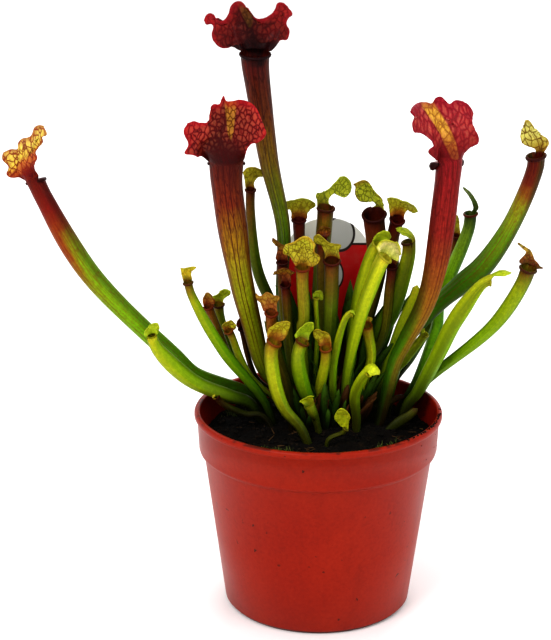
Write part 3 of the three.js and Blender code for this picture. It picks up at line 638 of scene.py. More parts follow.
# Place across and up on such a hood, between the neck, its two sides and its top.
def drawnPlace(leaf, arc, side, share):
    hood = leaf["hood"]
    if "sheet" not in hood:
        hood["sheet"] = hoodOutline(leaf, arc)
    west, top, east = hood["sheet"]
    across = (side * share + math.sin(arc * side) / math.sin(arc) * (1 - share) + 1) / 2
    bottom = west[0].lerp(east[0], across)
    corners = bottom * (1 - share) + (top[0].lerp(top[-1], across)) * share
    return (bottom * (1 - share) + onLine(top, across) * share + onLine(west, share) * (1 - across)
            + onLine(east, share) * across - corners)


def hoodLean(hood):
    return [math.radians(angle) for angle in hood.get("lean", leafSet["lean"])]


# Across and up on the hood laid flat, in millimetres, the lean it has there and the radius of that lean.
def hoodSpot(leaf, arc, side, share):
    hood = leaf["hood"]
    start, end = hoodLean(hood)
    reach = max(hood["long"] - slantOf(leaf), 1) / (end - start)
    if "top" in hood:
        seen = hood.get("seen", 1)  # -1 where the outline was drawn from behind
        place = drawnPlace(leaf, arc, side * seen, share)
        steepest = math.sin(end) if end < 1.5 else 0.999
        lean = math.asin(min(max(place.y / reach + math.sin(start), -0.999), steepest))
        return place.x * seen, (lean - start) * reach, lean, reach
    half = smoothList([arc * endRadius(leaf)] + [part * hood["wide"] / 2 for part in smallHoodOutline], share)
    return side * half, share * (end - start) * reach, start + (end - start) * share, reach


def hoodPoint(leaf, station, arc, side, share, seed):
    hood = leaf["hood"]
    centre, along, facing, across = station
    mouth = tubeRadius(leaf, 1)
    off, up, lean, reach = hoodSpot(leaf, arc, side, share)
    start = hoodLean(hood)[0]
    neck = mouth * math.sin(arc)
    opened = min(1, max(up / (0.4 * hood["long"]), (abs(off) - neck) / (0.7 * neck), 0))
    bend = (1 - opened) / mouth + opened * hood.get("cup", leafSet["cup"])
    bend = bend if abs(bend) > 1e-4 else 1e-4
    curve = math.asin(min(max(bend * off, -0.98), 0.98)) if "top" in hood else bend * off
    inward = facing * math.cos(lean) - along * math.sin(lean)
    turns = 2 * math.pi * hood.get("waves", leafSet["waves"]) * share + (0.9 if side < 0 else 0)
    wave = hood.get("ruffle", leafSet["ruffle"]) * side * side * math.sin(turns)
    fan = math.atan2(off, 0.3 * hood["long"] + up)
    out = max(abs(side) * min(1, 2 * share), share) ** 3
    folds = math.sin(hood.get("frills", leafSet["frills"]) * fan + seed)
    frill = hood.get("frill", leafSet["frill"]) * out * folds
    return (centre - facing * (mouth + reach * (math.cos(lean) - math.cos(start)))
            + along * (reach * (math.sin(lean) - math.sin(start)) + slantOf(leaf) * math.cos(side * arc))
            + across * math.sin(curve) / bend + inward * ((1 - math.cos(curve)) / bend + wave + frill))


# Place in the hood's net of veins, which is stretched along it, and how far a cell bulges there.
def hoodNet(leaf, arc, side, share, seed):
    off, up, _, _ = hoodSpot(leaf, arc, side, share)
    cell = leaf["hood"].get("cell", leafSet["cell"])
    place = Vector((off / cell, up / (1.4 * cell), seed))
    near, _ = noise.voronoi(place + 0.3 * noise.noise_vector(place * 0.9))
    return place, min(1, (near[1] - near[0]) / 0.5)


# How near a point of the hood is to the middle of the pale band over it, 0 to 1.
def hoodStripe(leaf, arc, side, share):
    hood = leaf["hood"]
    if "stripe" not in hood:
        return 0
    off, up, _, _ = hoodSpot(leaf, arc, side, share)
    fromX, fromY, toX, toY, wide = hood["stripe"]
    t = min(max((up - fromY) / (toY - fromY), 0), 1)
    middle = fromX + (toX - fromX) * t ** 1.3
    fade = min(1, max(0, (up - fromY + 2) / 4))
    return fade * max(0, 1 - abs(off * hood.get("seen", 1) - middle) / (wide * (0.5 + 0.7 * t)))


def extrudeRow(bm, edges):
    made = bmesh.ops.extrude_edge_only(bm, edges=edges)["geom"]
    verts = set(g for g in made if isinstance(g, bmesh.types.BMVert))
    return list(verts), [g for g in made if isinstance(g, bmesh.types.BMEdge) and set(g.verts) <= verts]


def growTube(bm, leaf, stations, seed, layers, edges):
    co, marks, turnOf = layers
    bands = len(stations) - 1
    verts = list(bm.verts)
    for band, station in enumerate(stations):
        if band:
            verts, edges = extrudeRow(bm, edges)
        share = band / bands
        for vert in verts:
            turn = vert[turnOf]
            vert.co = tubePoint(leaf, station, share, turn, seed)
            vert[co] = (math.sin(turn), share, abs(turn) / math.pi)
            vert[marks] = (0, 0, 0)
    return edges


def growHood(bm, leaf, station, seed, layers, edges, rows):
    co, marks, turnOf = layers
    stripe = bm.verts.layers.float.new("leafStripe")
    net = bm.verts.layers.float_vector.new("leafNet")
    arc = max(math.pi - abs(vert[turnOf]) for edge in edges for vert in edge.verts)
    heights = {}
    for row in range(1, rows + 1):
        verts, edges = extrudeRow(bm, edges)
        share = row / rows
        for vert in verts:
            turn = vert[turnOf]
            side = (math.pi - abs(turn)) / arc * (1 if turn > 0 else -1)
            vert[net], bulge = hoodNet(leaf, arc, side, share, seed)
            vert.co = hoodPoint(leaf, station, arc, side, share, seed)
            vert[co] = (side, 1 + share, 1 - abs(side) * arc / math.pi)
            vert[marks] = (max(abs(side) * min(1, share * 4), share), 0, 0)
            vert[stripe] = hoodStripe(leaf, arc, side, share)
            heights[vert] = min(1, share * 3) * bulge * leafSet["bulge"]
    return heights


def growLip(bm, leaf, station, seed, layers, edges):
    co, marks, turnOf = layers
    widest = max(abs(vert[turnOf]) for edge in edges for vert in edge.verts)
    size = leafSet["lipFlare"] * leaf.get("lip", leafSet["lip"]) * min(1, 0.25 + 0.18 * endRadius(leaf))
    for row, (flare, lift) in enumerate(lipRoll, 1):
        verts, edges = extrudeRow(bm, edges)
        for vert in verts:
            turn = vert[turnOf]
            left = min(1, (widest - abs(turn)) / 0.5)
            ease = size * left * left * (3 - 2 * left)
            vert.co = tubePoint(leaf, station, 1, turn, seed, flare * ease, lift * ease)
            vert[co] = (math.sin(turn), 1, abs(turn) / math.pi)
            vert[marks] = (0, row / len(lipRoll), 0)


def growLeaf(name, leaf, index):
    detail = details[leaf.get("detail", "small")]
    seed = 3.7 * index + 0.31
    stations = leafLine(leaf, detail["bands"])
    bm = bmesh.new()
    layers = (bm.verts.layers.float_vector.new("leafCo"), bm.verts.layers.float_vector.new("leafMarks"),
              bm.verts.layers.float.new("turn"))
    co, _, turnOf = layers
    bmesh.ops.create_circle(bm, cap_ends=True, segments=detail["sides"], radius=1)
    for vert in bm.verts:
        vert[turnOf] = math.atan2(vert.co.x, vert.co.y)
    edges = growTube(bm, leaf, stations, seed, layers, bm.edges[:])
    heights = {}
    if "hood" in leaf:
        reach = math.pi - leaf["hood"].get("arc", leafSet["arc"])
        back = [edge for edge in edges if min(abs(vert[turnOf]) for vert in edge.verts) >= reach]
        front = [edge for edge in edges if edge not in back]
        heights = growHood(bm, leaf, stations[-1], seed, layers, back, detail["hoodRows"])
        growLip(bm, leaf, stations[-1], seed, layers, front)
    else:
        tip = stations[-1][0] + stations[-1][1] * endRadius(leaf)
        bmesh.ops.pointmerge(bm, verts=extrudeRow(bm, edges)[0], merge_co=tip)
        for vert in bm.verts:
            if vert.co == tip:
                vert[co] = (0, 1, 0.5)
    bmesh.ops.remove_doubles(bm, verts=bm.verts, dist=0.004)
    bmesh.ops.recalc_face_normals(bm, faces=bm.faces)
    bm.normal_update()
    for vert, height in heights.items():
        if vert.is_valid:
            vert.co += vert.normal * height
    skin = leafMaterial(name, looks[leaf["look"]])
    piece = finishPiece(bm, name + "_leaf", skin, [name])
    if "hood" in leaf:
        wall = piece.modifiers.new("skin", "SOLIDIFY")
        wall.thickness = detail["skin"] * mm
        wall.offset = -1


# Colours of the leaves. tube runs from root to mouth and hood from neck to tip, each as (place, colour).
# veins, ribs, flanks, stripes, cells and midrib say how strongly those are drawn, and one more value how
# strongly the tube's side turned from the key light is painted darker and greener, as painted shade.
looks = dict(
    tall=dict(
        tube=((0, "2c2410"), (0.2, "3f7414"), (0.5, "5e8c1a"), (0.63, "7c8a1c"), (0.74, "88701c"),
              (0.85, "743a18"), (0.985, "5e2020"), (1, "1c0408")),
        hood=((0, "1c0409"), (0.2, "2a060b"), (0.4, "4e0e12"), (0.7, "74181c"), (1, "a82430")),
        outward=0.6, rim="9c1c30", vein="38070c", veins=0.45, lip="20040a", rib="2e080a", ribs=0.75,
        cell="e08070", cells=0.07, flank="7a2a18", flanks=0.45, stripe="6c5a1e", stripes=0.4, awayShade=0.3),
    netted=dict(
        tube=((0, "33280f"), (0.14, "567c14"), (0.35, "8c981c"), (0.6, "9ca41c"), (0.75, "a4841e"),
              (0.88, "803418"), (1, "561917")),
        hood=((0, "3a1012"), (0.25, "501315"), (0.5, "74201f"), (0.8, "9a2c32"), (1, "b82a38")),
        outward=0.5, rim="a8182c", vein="4a060c", veins=0.85, lip="2a060b", rib="4a0d0d", ribs=0.85,
        cell="f0a080", cells=0.15, flank="86301c", flanks=0.8, stripe="a88a24", stripes=0.6, midrib=0.9,
        awayShade=0.45),
    farLeft=dict(
        tube=((0, "2c3010"), (0.15, "5a9a10"), (0.5, "78b010"), (0.76, "86b218"), (0.83, "8c8a1c"),
              (0.87, "8c4a1a"), (0.91, "801c14"), (1, "5c0e10")),
        hood=((0, "3a070d"), (0.2, "7c1418"), (0.4, "b86434"), (0.6, "dcc25a"), (1, "e4d67c")),
        rim="96362a", vein="7c2410", veins=0.9, lip="2c060a", rib="7a2410", ribs=0.6, mesh=1.0,
        leftFlank="9c4014", leftFlanks=0.85, awayShade=0.15),
    redRight=dict(
        tube=((0, "3a2c12"), (0.2, "66701e"), (0.4, "96822a"), (0.58, "9c6c24"), (0.78, "942c26"),
              (1, "94202e")),
        hood=((0, "74121e"), (0.25, "8c1e2a"), (0.6, "a63442"), (1, "9c1c3a")), rim="901434",
        vein="6c0a18", veins=0.55, lip="1a0808", rib="5c0e10", ribs=0.7, cell="f0a088", cells=0.2,
        flank="4c641a", flanks=0.75, flankTop=0.6, stripe="d8b444", stripes=0.85, mesh=1.0, awayShade=0.15,
        west="4a8a12"),
    farRight=dict(
        tube=((0, "2a3010"), (0.25, "3f8410"), (0.6, "4f8c10"), (0.76, "6c9c18"), (0.85, "94a024"),
              (0.89, "8a5a1e"), (0.92, "702814"), (0.96, "5a1210"), (1, "50100e")),
        hood=((0, "7a4a1a"), (0.25, "b8ac50"), (0.6, "d8da88"), (1, "dce29c")), rim="a08a2a",
        vein="6c4c10", veins=0.85, lip="360a0c", rib="7a3410", ribs=0.5, mesh=1.0, flank="2c5c0e",
        flanks=0.4, awayShade=0.3),
    umbrella=dict(
        tube=((0, "231c0e"), (0.4, "465016"), (0.75, "665e1c"), (0.9, "6c441c"), (0.96, "742a1a"),
              (1, "641a16")),
        hood=((0, "70281a"), (0.25, "a8702c"), (0.5, "b9bc3e"), (1, "c6cf50")), rim="9aa83a",
        vein="7a5a1c", veins=0.55, lip="4a1010", rib="5c2a14", ribs=0.3),
    oliveVeined=dict(
        tube=((0, "231f0e"), (0.35, "3f5a14"), (0.75, "7a8420"), (0.94, "8a6c20"), (1, "6c3418")),
        hood=((0, "8a8a28"), (0.3, "b2c040"), (1, "bccd4a")), rim="98aa34", vein="54661c", veins=0.75,
        lip="42160e", rib="4a5216", ribs=0.35),
    brownVeined=dict(
        tube=((0, "1f1a0c"), (0.35, "4c5c1a"), (0.75, "7a641e"), (0.95, "6c3018"), (1, "42100e")),
        hood=((0, "7c7a26"), (0.3, "a8b83c"), (1, "b9c648")), rim="8c6a2a", vein="4c5416", veins=0.75,
        lip="34080a", rib="4a2410", ribs=0.35),
    brown=dict(
        tube=((0, "1c180c"), (0.4, "56701a"), (0.7, "787c20"), (0.88, "7c6420"), (0.96, "6c2f1a"),
              (1, "541a16")),
        hood=((0, "5c2016"), (0.4, "93582a"), (1, "9a8432")), rim="6c3a1c", vein="44180e", veins=0.6,
        lip="3a0e0c", rib="4a1c10", ribs=0.3),
    olive=dict(
        tube=((0, "1e1c0d"), (0.35, "3a5814"), (0.75, "6f8020"), (0.93, "7e5a20"), (1, "602414")),
        hood=((0, "8c5c24"), (0.35, "a8a838"), (1, "b8b840")), rim="9a9030", vein="5c4a18", veins=0.5,
        lip="4c160e", rib="4a4a16", ribs=0.3),
    yellowVeined=dict(
        tube=((0, "2a220e"), (0.35, "7a9420"), (0.7, "949c26"), (0.93, "9c9028"), (1, "8a5a1e")),
        hood=((0, "9c6a2c"), (0.25, "b4ac3a"), (1, "c2c84a")), rim="c0a03a", vein="6a5a18", veins=0.85,
        lip="6c2614", rib="74581c", ribs=0.5),
    yellowNeck=dict(
        tube=((0, "2c260e"), (0.2, "96b41e"), (0.55, "bccc28"), (0.84, "b8c42c"), (0.96, "a8962a"),
              (1, "8c541c")),
        hood=((0, "8c4a1c"), (0.25, "a8842c"), (0.5, "bcbc3c"), (1, "ccd04c")), rim="a8962e",
        vein="7a4a18", veins=0.6, lip="7c4418", rib="84781c", ribs=0.25),
    greenMouth=dict(
        tube=((0, "24240c"), (0.25, "5a8c12"), (0.7, "8eb01c"), (0.95, "9ea826"), (1, "8e5a1c")),
        hood=((0, "8a6a22"), (0.3, "9cba2c"), (1, "b4cc3a")), rim="a6bc38", vein="6f9020", veins=0.4,
        lip="5c2c12", rib="5c8416", ribs=0.2),
    lime=dict(
        tube=((0, "29280e"), (0.2, "698c14"), (0.6, "9ab41a"), (0.93, "b3c022"), (1, "bcbc2c")),
        hood=((0, "a0b82a"), (0.4, "b2cb34"), (1, "bfd244")), rim="aabe3c", vein="7c9c24", veins=0.35,
        lip="9a9a2c", rib="6a9418", ribs=0.2),
    limeBright=dict(
        tube=((0, "3a3a10"), (0.25, "98b41a"), (0.7, "b4cc22"), (1, "bccc2c")),
        hood=((0, "bcc828"), (0.4, "c8da34"), (1, "cfdf40")), rim="bcc83a", vein="9cb02a", veins=0.3,
        lip="b0b02c", rib="94b020", ribs=0.15),
    pale=dict(
        tube=((0, "29280e"), (0.2, "70941a"), (0.6, "a7bc20"), (0.93, "c1cc2c"), (1, "d8d048")),
        hood=((0, "c2d03c"), (0.4, "dce29a"), (0.7, "ece8bc"), (1, "c8cc48")), rim="b9c040",
        vein="a0b43a", veins=0.35, lip="9c9a34", rib="74981c", ribs=0.2),
    green=dict(
        tube=((0, "22220c"), (0.2, "487a12"), (0.65, "7fa01a"), (0.93, "9aa422"), (1, "8c6a20")),
        hood=((0, "8c7a28"), (0.35, "a4b834"), (1, "b0c440")), rim="9cb038", vein="5c7c1c", veins=0.45,
        lip="401410", rib="4c7a14", ribs=0.25),
    greenDark=dict(
        tube=((0, "2a300f"), (0.3, "74b414"), (0.7, "8cc422"), (0.9, "84a834"), (1, "465822")),
        hood=((0, "3a4820"), (0.4, "4c6a2e"), (1, "9cb48c")), rim="4a5c2c", vein="2a3412", veins=0.4,
        lip="5c1812", rib="2c4a10", ribs=0.35),
    cup=dict(
        tube=((0, "22240c"), (0.2, "558a12"), (0.65, "8eb01a"), (0.9, "a9b020"), (1, "7c4a18")),
        hood=((0, "5c3a16"), (0.3, "b8a830"), (0.7, "cfbc3c"), (1, "c0c04a")), rim="a8a030",
        vein="8a7a24", veins=0.5, lip="4c2410", rib="548c14", ribs=0.2),
    cupBrown=dict(
        tube=((0, "22240c"), (0.2, "5a8a12"), (0.65, "8cb01a"), (0.9, "9cac20"), (1, "6c3c18")),
        hood=((0, "4c1e10"), (0.4, "84502a"), (0.75, "b09a4a"), (1, "b0a468")), rim="8c6a34",
        vein="4c2412", veins=0.6, lip="42180e", rib="5c8414", ribs=0.3),
    orange=dict(
        tube=((0, "201c0c"), (0.3, "4a5a16"), (0.7, "7a701e"), (0.93, "94682a"), (1, "8c4a20")),
        hood=((0, "8c4420"), (0.4, "a4743a"), (1, "b8a04c")), rim="9c7030", vein="6a2412", veins=0.6,
        lip="6a2a14", rib="5c3012", ribs=0.4),
    redDark=dict(
        tube=((0, "1c120a"), (0.4, "4a4c16"), (0.8, "644418"), (1, "4a120e")),
        hood=((0, "4a100e"), (0.5, "74241a"), (1, "7c3a20")), rim="4a1210", vein="300a0a", veins=0.5,
        lip="30080a", rib="2c100a", ribs=0.3),
)

# How a leaf's skin is drawn. mesh, cells, midrib and the painted side shade hold where its look has none of
# its own.
skinSet = dict(roughness=0.4, specular=0.15, subsurface=0.12, subsurfaceDepth=0.0012,
               subsurfaceRadius=(1.0, 0.7, 0.25), patches=130, wander=0.16, lines=9, lineScale=(9, 1.3, 11),
               tubeNet=(5.5, 14, 7), mesh=1.25, freckles=900, freckle=0.22, cells=0.12, midrib=0.5,
               awayShade=0.6, awayShadeTint=(0.45, 0.88, 0.5, 1), lightTint=(1.5, 1.45, 1.2, 1),
               edgeShadeTint=(0.3, 0.34, 0.3, 1), foot="20130a", footLow=70, footHigh=92, footMix=0.85,
               tone=(0.88, 0.8, 0.6, 1), toneLight=(1.04, 0.93, 0.66, 1))


# The places on a leaf that its colours read, each as a socket.
def leafPlaces(tree):
    place = objectPlace(tree)
    leafCo = attribute(tree, "leafCo")
    side, along, around = axes(leafCo)
    rim, lip, _ = axes(attribute(tree, "leafMarks"))
    onHood = spread(along, 1.0, 1.06)
    patchy = grain(place, skinSet["patches"], 3)
    return dict(place=place, leafCo=leafCo, side=side, along=along, around=around, rim=rim, lip=lip,
                offMiddle=maths("ABSOLUTE", side), onHood=onHood, onTube=minus(1.0, onHood),
                patchy=patchy, wander=times(minus(patchy, 0.5), skinSet["wander"]),
                leafNet=attribute(tree, "leafNet"),
                normal=tree.nodes.new("ShaderNodeNewGeometry").outputs["Normal"])


# The colours from root to mouth and from neck to tip.
def groundColour(look, at):
    up = minus(at["along"], 1.0)
    if "outward" in look:  # the hood's colours run to its sides as well as to its top
        sideways = times(at["offMiddle"], spread(up, 0.0, 0.5))
        up = plus(times(up, 1 - look["outward"]), times(sideways, look["outward"]))
    tube = ramped(plus(at["along"], times(at["wander"], 0.5)), look["tube"])
    return mixed(at["onHood"], tube, ramped(plus(up, at["wander"]), look["hood"]))


# Both flanks of the tube where a look has flank, and its left flank alone where it has leftFlank.
def withFlanks(look, at, colour):
    if "flank" in look:
        risen = times(spread(at["along"], 0.12, 0.5), at["onTube"])
        flank = times(spread(at["offMiddle"], 0.45, 1.0), risen)
        if "flankTop" in look:
            low, high = look["flankTop"] - 0.15, look["flankTop"] + 0.1
            flank = times(flank, spread(at["along"], low, high, 1, 0))
        colour = mixed(times(flank, look["flanks"]), colour, paint(look["flank"]))
    if "leftFlank" in look:
        risen = times(at["onTube"], spread(plus(at["along"], at["wander"]), 0.62, 0.8))
        left = times(spread(at["side"], -0.75, -0.15), risen)
        left = times(left, spread(at["along"], 0.84, 0.92, 1, 0.1))
        colour = mixed(times(left, look["leftFlanks"]), colour, paint(look["leftFlank"]))
    return colour


# Painted shade: the tube is drawn darker and greener on its side turned away from the key light.
# It is green low on the other side where a look has west.
def withShadedGreenSides(look, at, colour):
    facing = axes(at["normal"])["X"]
    # painted shade: a darker, greener copy of the colour on the side away from the light
    awayShade = times(spread(facing, 0.0, 0.85), at["onTube"])
    shadedGreener = tinted(colour, skinSet["awayShadeTint"])
    colour = mixed(times(awayShade, look.get("awayShade", skinSet["awayShade"])), colour, shadedGreener)
    if "west" in look:
        low = spread(plus(at["along"], at["wander"]), 0.35, 0.6, 1, 0)
        west = times(spread(facing, -0.3, 0.1, 1, 0), low)
        colour = mixed(times(west, 0.85), colour, paint(look["west"]))
    return colour


# A pale band over the hood, with dark edges.
def withStripe(look, at, colour):
    band = times(attribute(colour.id_data, "leafStripe", "Fac"), at["onHood"])
    strength = times(spread(at["along"], 1.05, 1.6, 0.15, 1), look["stripes"])
    colour = mixed(times(spread(band, 0.15, 0.45), strength), colour, paint(look["stripe"]))
    edge = times(spread(band, 0.02, 0.15), spread(band, 0.15, 0.35, 1, 0))
    return mixed(times(edge, 0.6), colour, paint(look["vein"]))


# Fine grain along the leaf, dark lines up the tube with a pair in the middle, a net between them, and painted
# shade darkening the tube's two sides.
def withLines(look, at, colour):
    rib, leafCo, along, around = paint(look["rib"]), at["leafCo"], at["along"], at["around"]
    lines = grain(stretched(leafCo, skinSet["lineScale"]), 2.2, 3)
    colour = mixed(spread(lines, 0.5, 0.72, 0, 0.3), colour, rib)
    lighter = tinted(colour, skinSet["lightTint"])
    colour = mixed(spread(lines, 0.3, 0.46, 0.35, 0), colour, lighter)
    fromMiddle = maths("MINIMUM", around, minus(1.0, around))
    waver = minus(grain(stretched(leafCo, (1.2, 6, 1.2)), 1.5, 2), 0.5)
    place = plus(times(around, float(skinSet["lines"])), times(waver, 0.7))
    toLine = maths("ABSOLUTE", minus(maths("FRACT", place), 0.5))
    drawn = spread(toLine, 0.02, 0.2, 1, 0)
    faint = times(grain(stretched(leafCo, (3, 2.5, 3)), 2, 2), 0.8)
    middle = mixed(spread(fromMiddle, 0.09, 0.16), (1, 1, 1, 1), faint)
    high = spread(along, 0.1, 0.55, 0.35, 1)
    lining = times(times(drawn, middle), times(high, at["onTube"]))
    colour = mixed(times(lining, look["ribs"]), colour, rib)
    net = spread(cellEdges(stretched(leafCo, skinSet["tubeNet"]), 1.0), 0.02, 0.11, 1, 0)
    net = times(net, times(spread(along, 0.35, 0.95), at["onTube"]))
    colour = mixed(times(net, look["ribs"] * 0.8), colour, rib)
    # Painted shade: the tube is drawn much darker towards its two sides.
    edges = times(spread(at["offMiddle"], 0.72, 1.0), at["onTube"])
    colour = mixed(times(edges, 0.6), colour, tinted(colour, skinSet["edgeShadeTint"]))
    return colour, minus(lines, times(net, 0.5))


# The net of veins on the hood, with a strong middle vein, paler cells between them, and the rim and the lip.
def withVeins(look, at, colour):
    wobble = newNode("ShaderNodeTexNoise", at["leafNet"])
    wobble.inputs["Scale"].default_value = 0.9
    bent = newNode("ShaderNodeVectorMath", wobble.outputs["Color"], (0.7, 0.7, 0.7))
    bent.operation = "MULTIPLY_ADD"
    plug(bent.inputs[2], at["leafNet"])
    toVein = cellEdges(bent.outputs[0], look.get("mesh", skinSet["mesh"]))
    toMidrib = maths("ABSOLUTE", minus(at["offMiddle"], 0.07))
    fading = spread(at["along"], 1.6, 1.95, look.get("midrib", skinSet["midrib"]), 0)
    midrib = times(spread(toMidrib, 0.015, 0.06, 1, 0), fading)
    fine = maths("MAXIMUM", spread(toVein, 0.02, 0.12, 1, 0), midrib)
    drawn = times(times(fine, at["onHood"]), look["veins"])
    cells = times(spread(toVein, 0.08, 0.3), look.get("cells", skinSet["cells"]))
    cells = times(cells, spread(at["along"], 1.15, 1.55))
    colour = mixed(cells, colour, paint(look.get("cell", look["hood"][-1][1])), "SCREEN")
    colour = mixed(drawn, colour, paint(look["vein"]))
    colour = mixed(spread(at["rim"], 0.86, 1.0, 0, 0.7), colour, paint(look["rim"]))
    return mixed(spread(at["lip"], 0.05, 0.4, 0, 0.9), colour, paint(look["lip"]))


# Freckles, the dark foot near the soil, which is partly painted shade and partly the darker colour of the
# leaf bases, and the tone of the whole leaf.
def withTone(look, at, colour):
    freckles = grain(at["place"], skinSet["freckles"], 3, 0.65)
    colour = mixed(spread(freckles, 0.5, 0.66, 0, skinSet["freckle"]), colour, paint(look["rib"]))
    # Partly painted shade, partly the bases' own darker colour: each tube darkens towards the soil.
    height = plus(axes(at["place"])["Z"], times(grain(at["place"], 200, 2), 0.006))
    foot = spread(height, skinSet["footLow"] * mm, skinSet["footHigh"] * mm, 1, 0)
    foot = times(times(foot, at["onTube"]), skinSet["footMix"])
    colour = mixed(foot, colour, paint(skinSet["foot"]))
    tone = mixed(spread(freckles, 0.32, 0.5, 1, 0), skinSet["tone"], skinSet["toneLight"])
    return tinted(colour, tone)


def leafMaterial(name, look):
    material, tree, shader = newMaterial(name + "Skin", skinSet["roughness"], skinSet["specular"])
    at = leafPlaces(tree)
    colour = withShadedGreenSides(look, at, withFlanks(look, at, groundColour(look, at)))
    if "stripe" in look:
        colour = withStripe(look, at, colour)
    colour, relief = withLines(look, at, colour)
    colour = withTone(look, at, withVeins(look, at, colour))
    plug(shader.inputs["Base Color"], colour)
    plug(shader.inputs["Roughness"], spread(at["patchy"], 0.3, 0.7, 0.33, 0.5))
    shader.inputs["Subsurface Weight"].default_value = skinSet["subsurface"]
    shader.inputs["Subsurface Radius"].default_value = skinSet["subsurfaceRadius"]
    shader.inputs["Subsurface Scale"].default_value = skinSet["subsurfaceDepth"]
    bumped(shader, plus(relief, times(at["patchy"], 0.5)), 0.35, 0.0003)
    return material


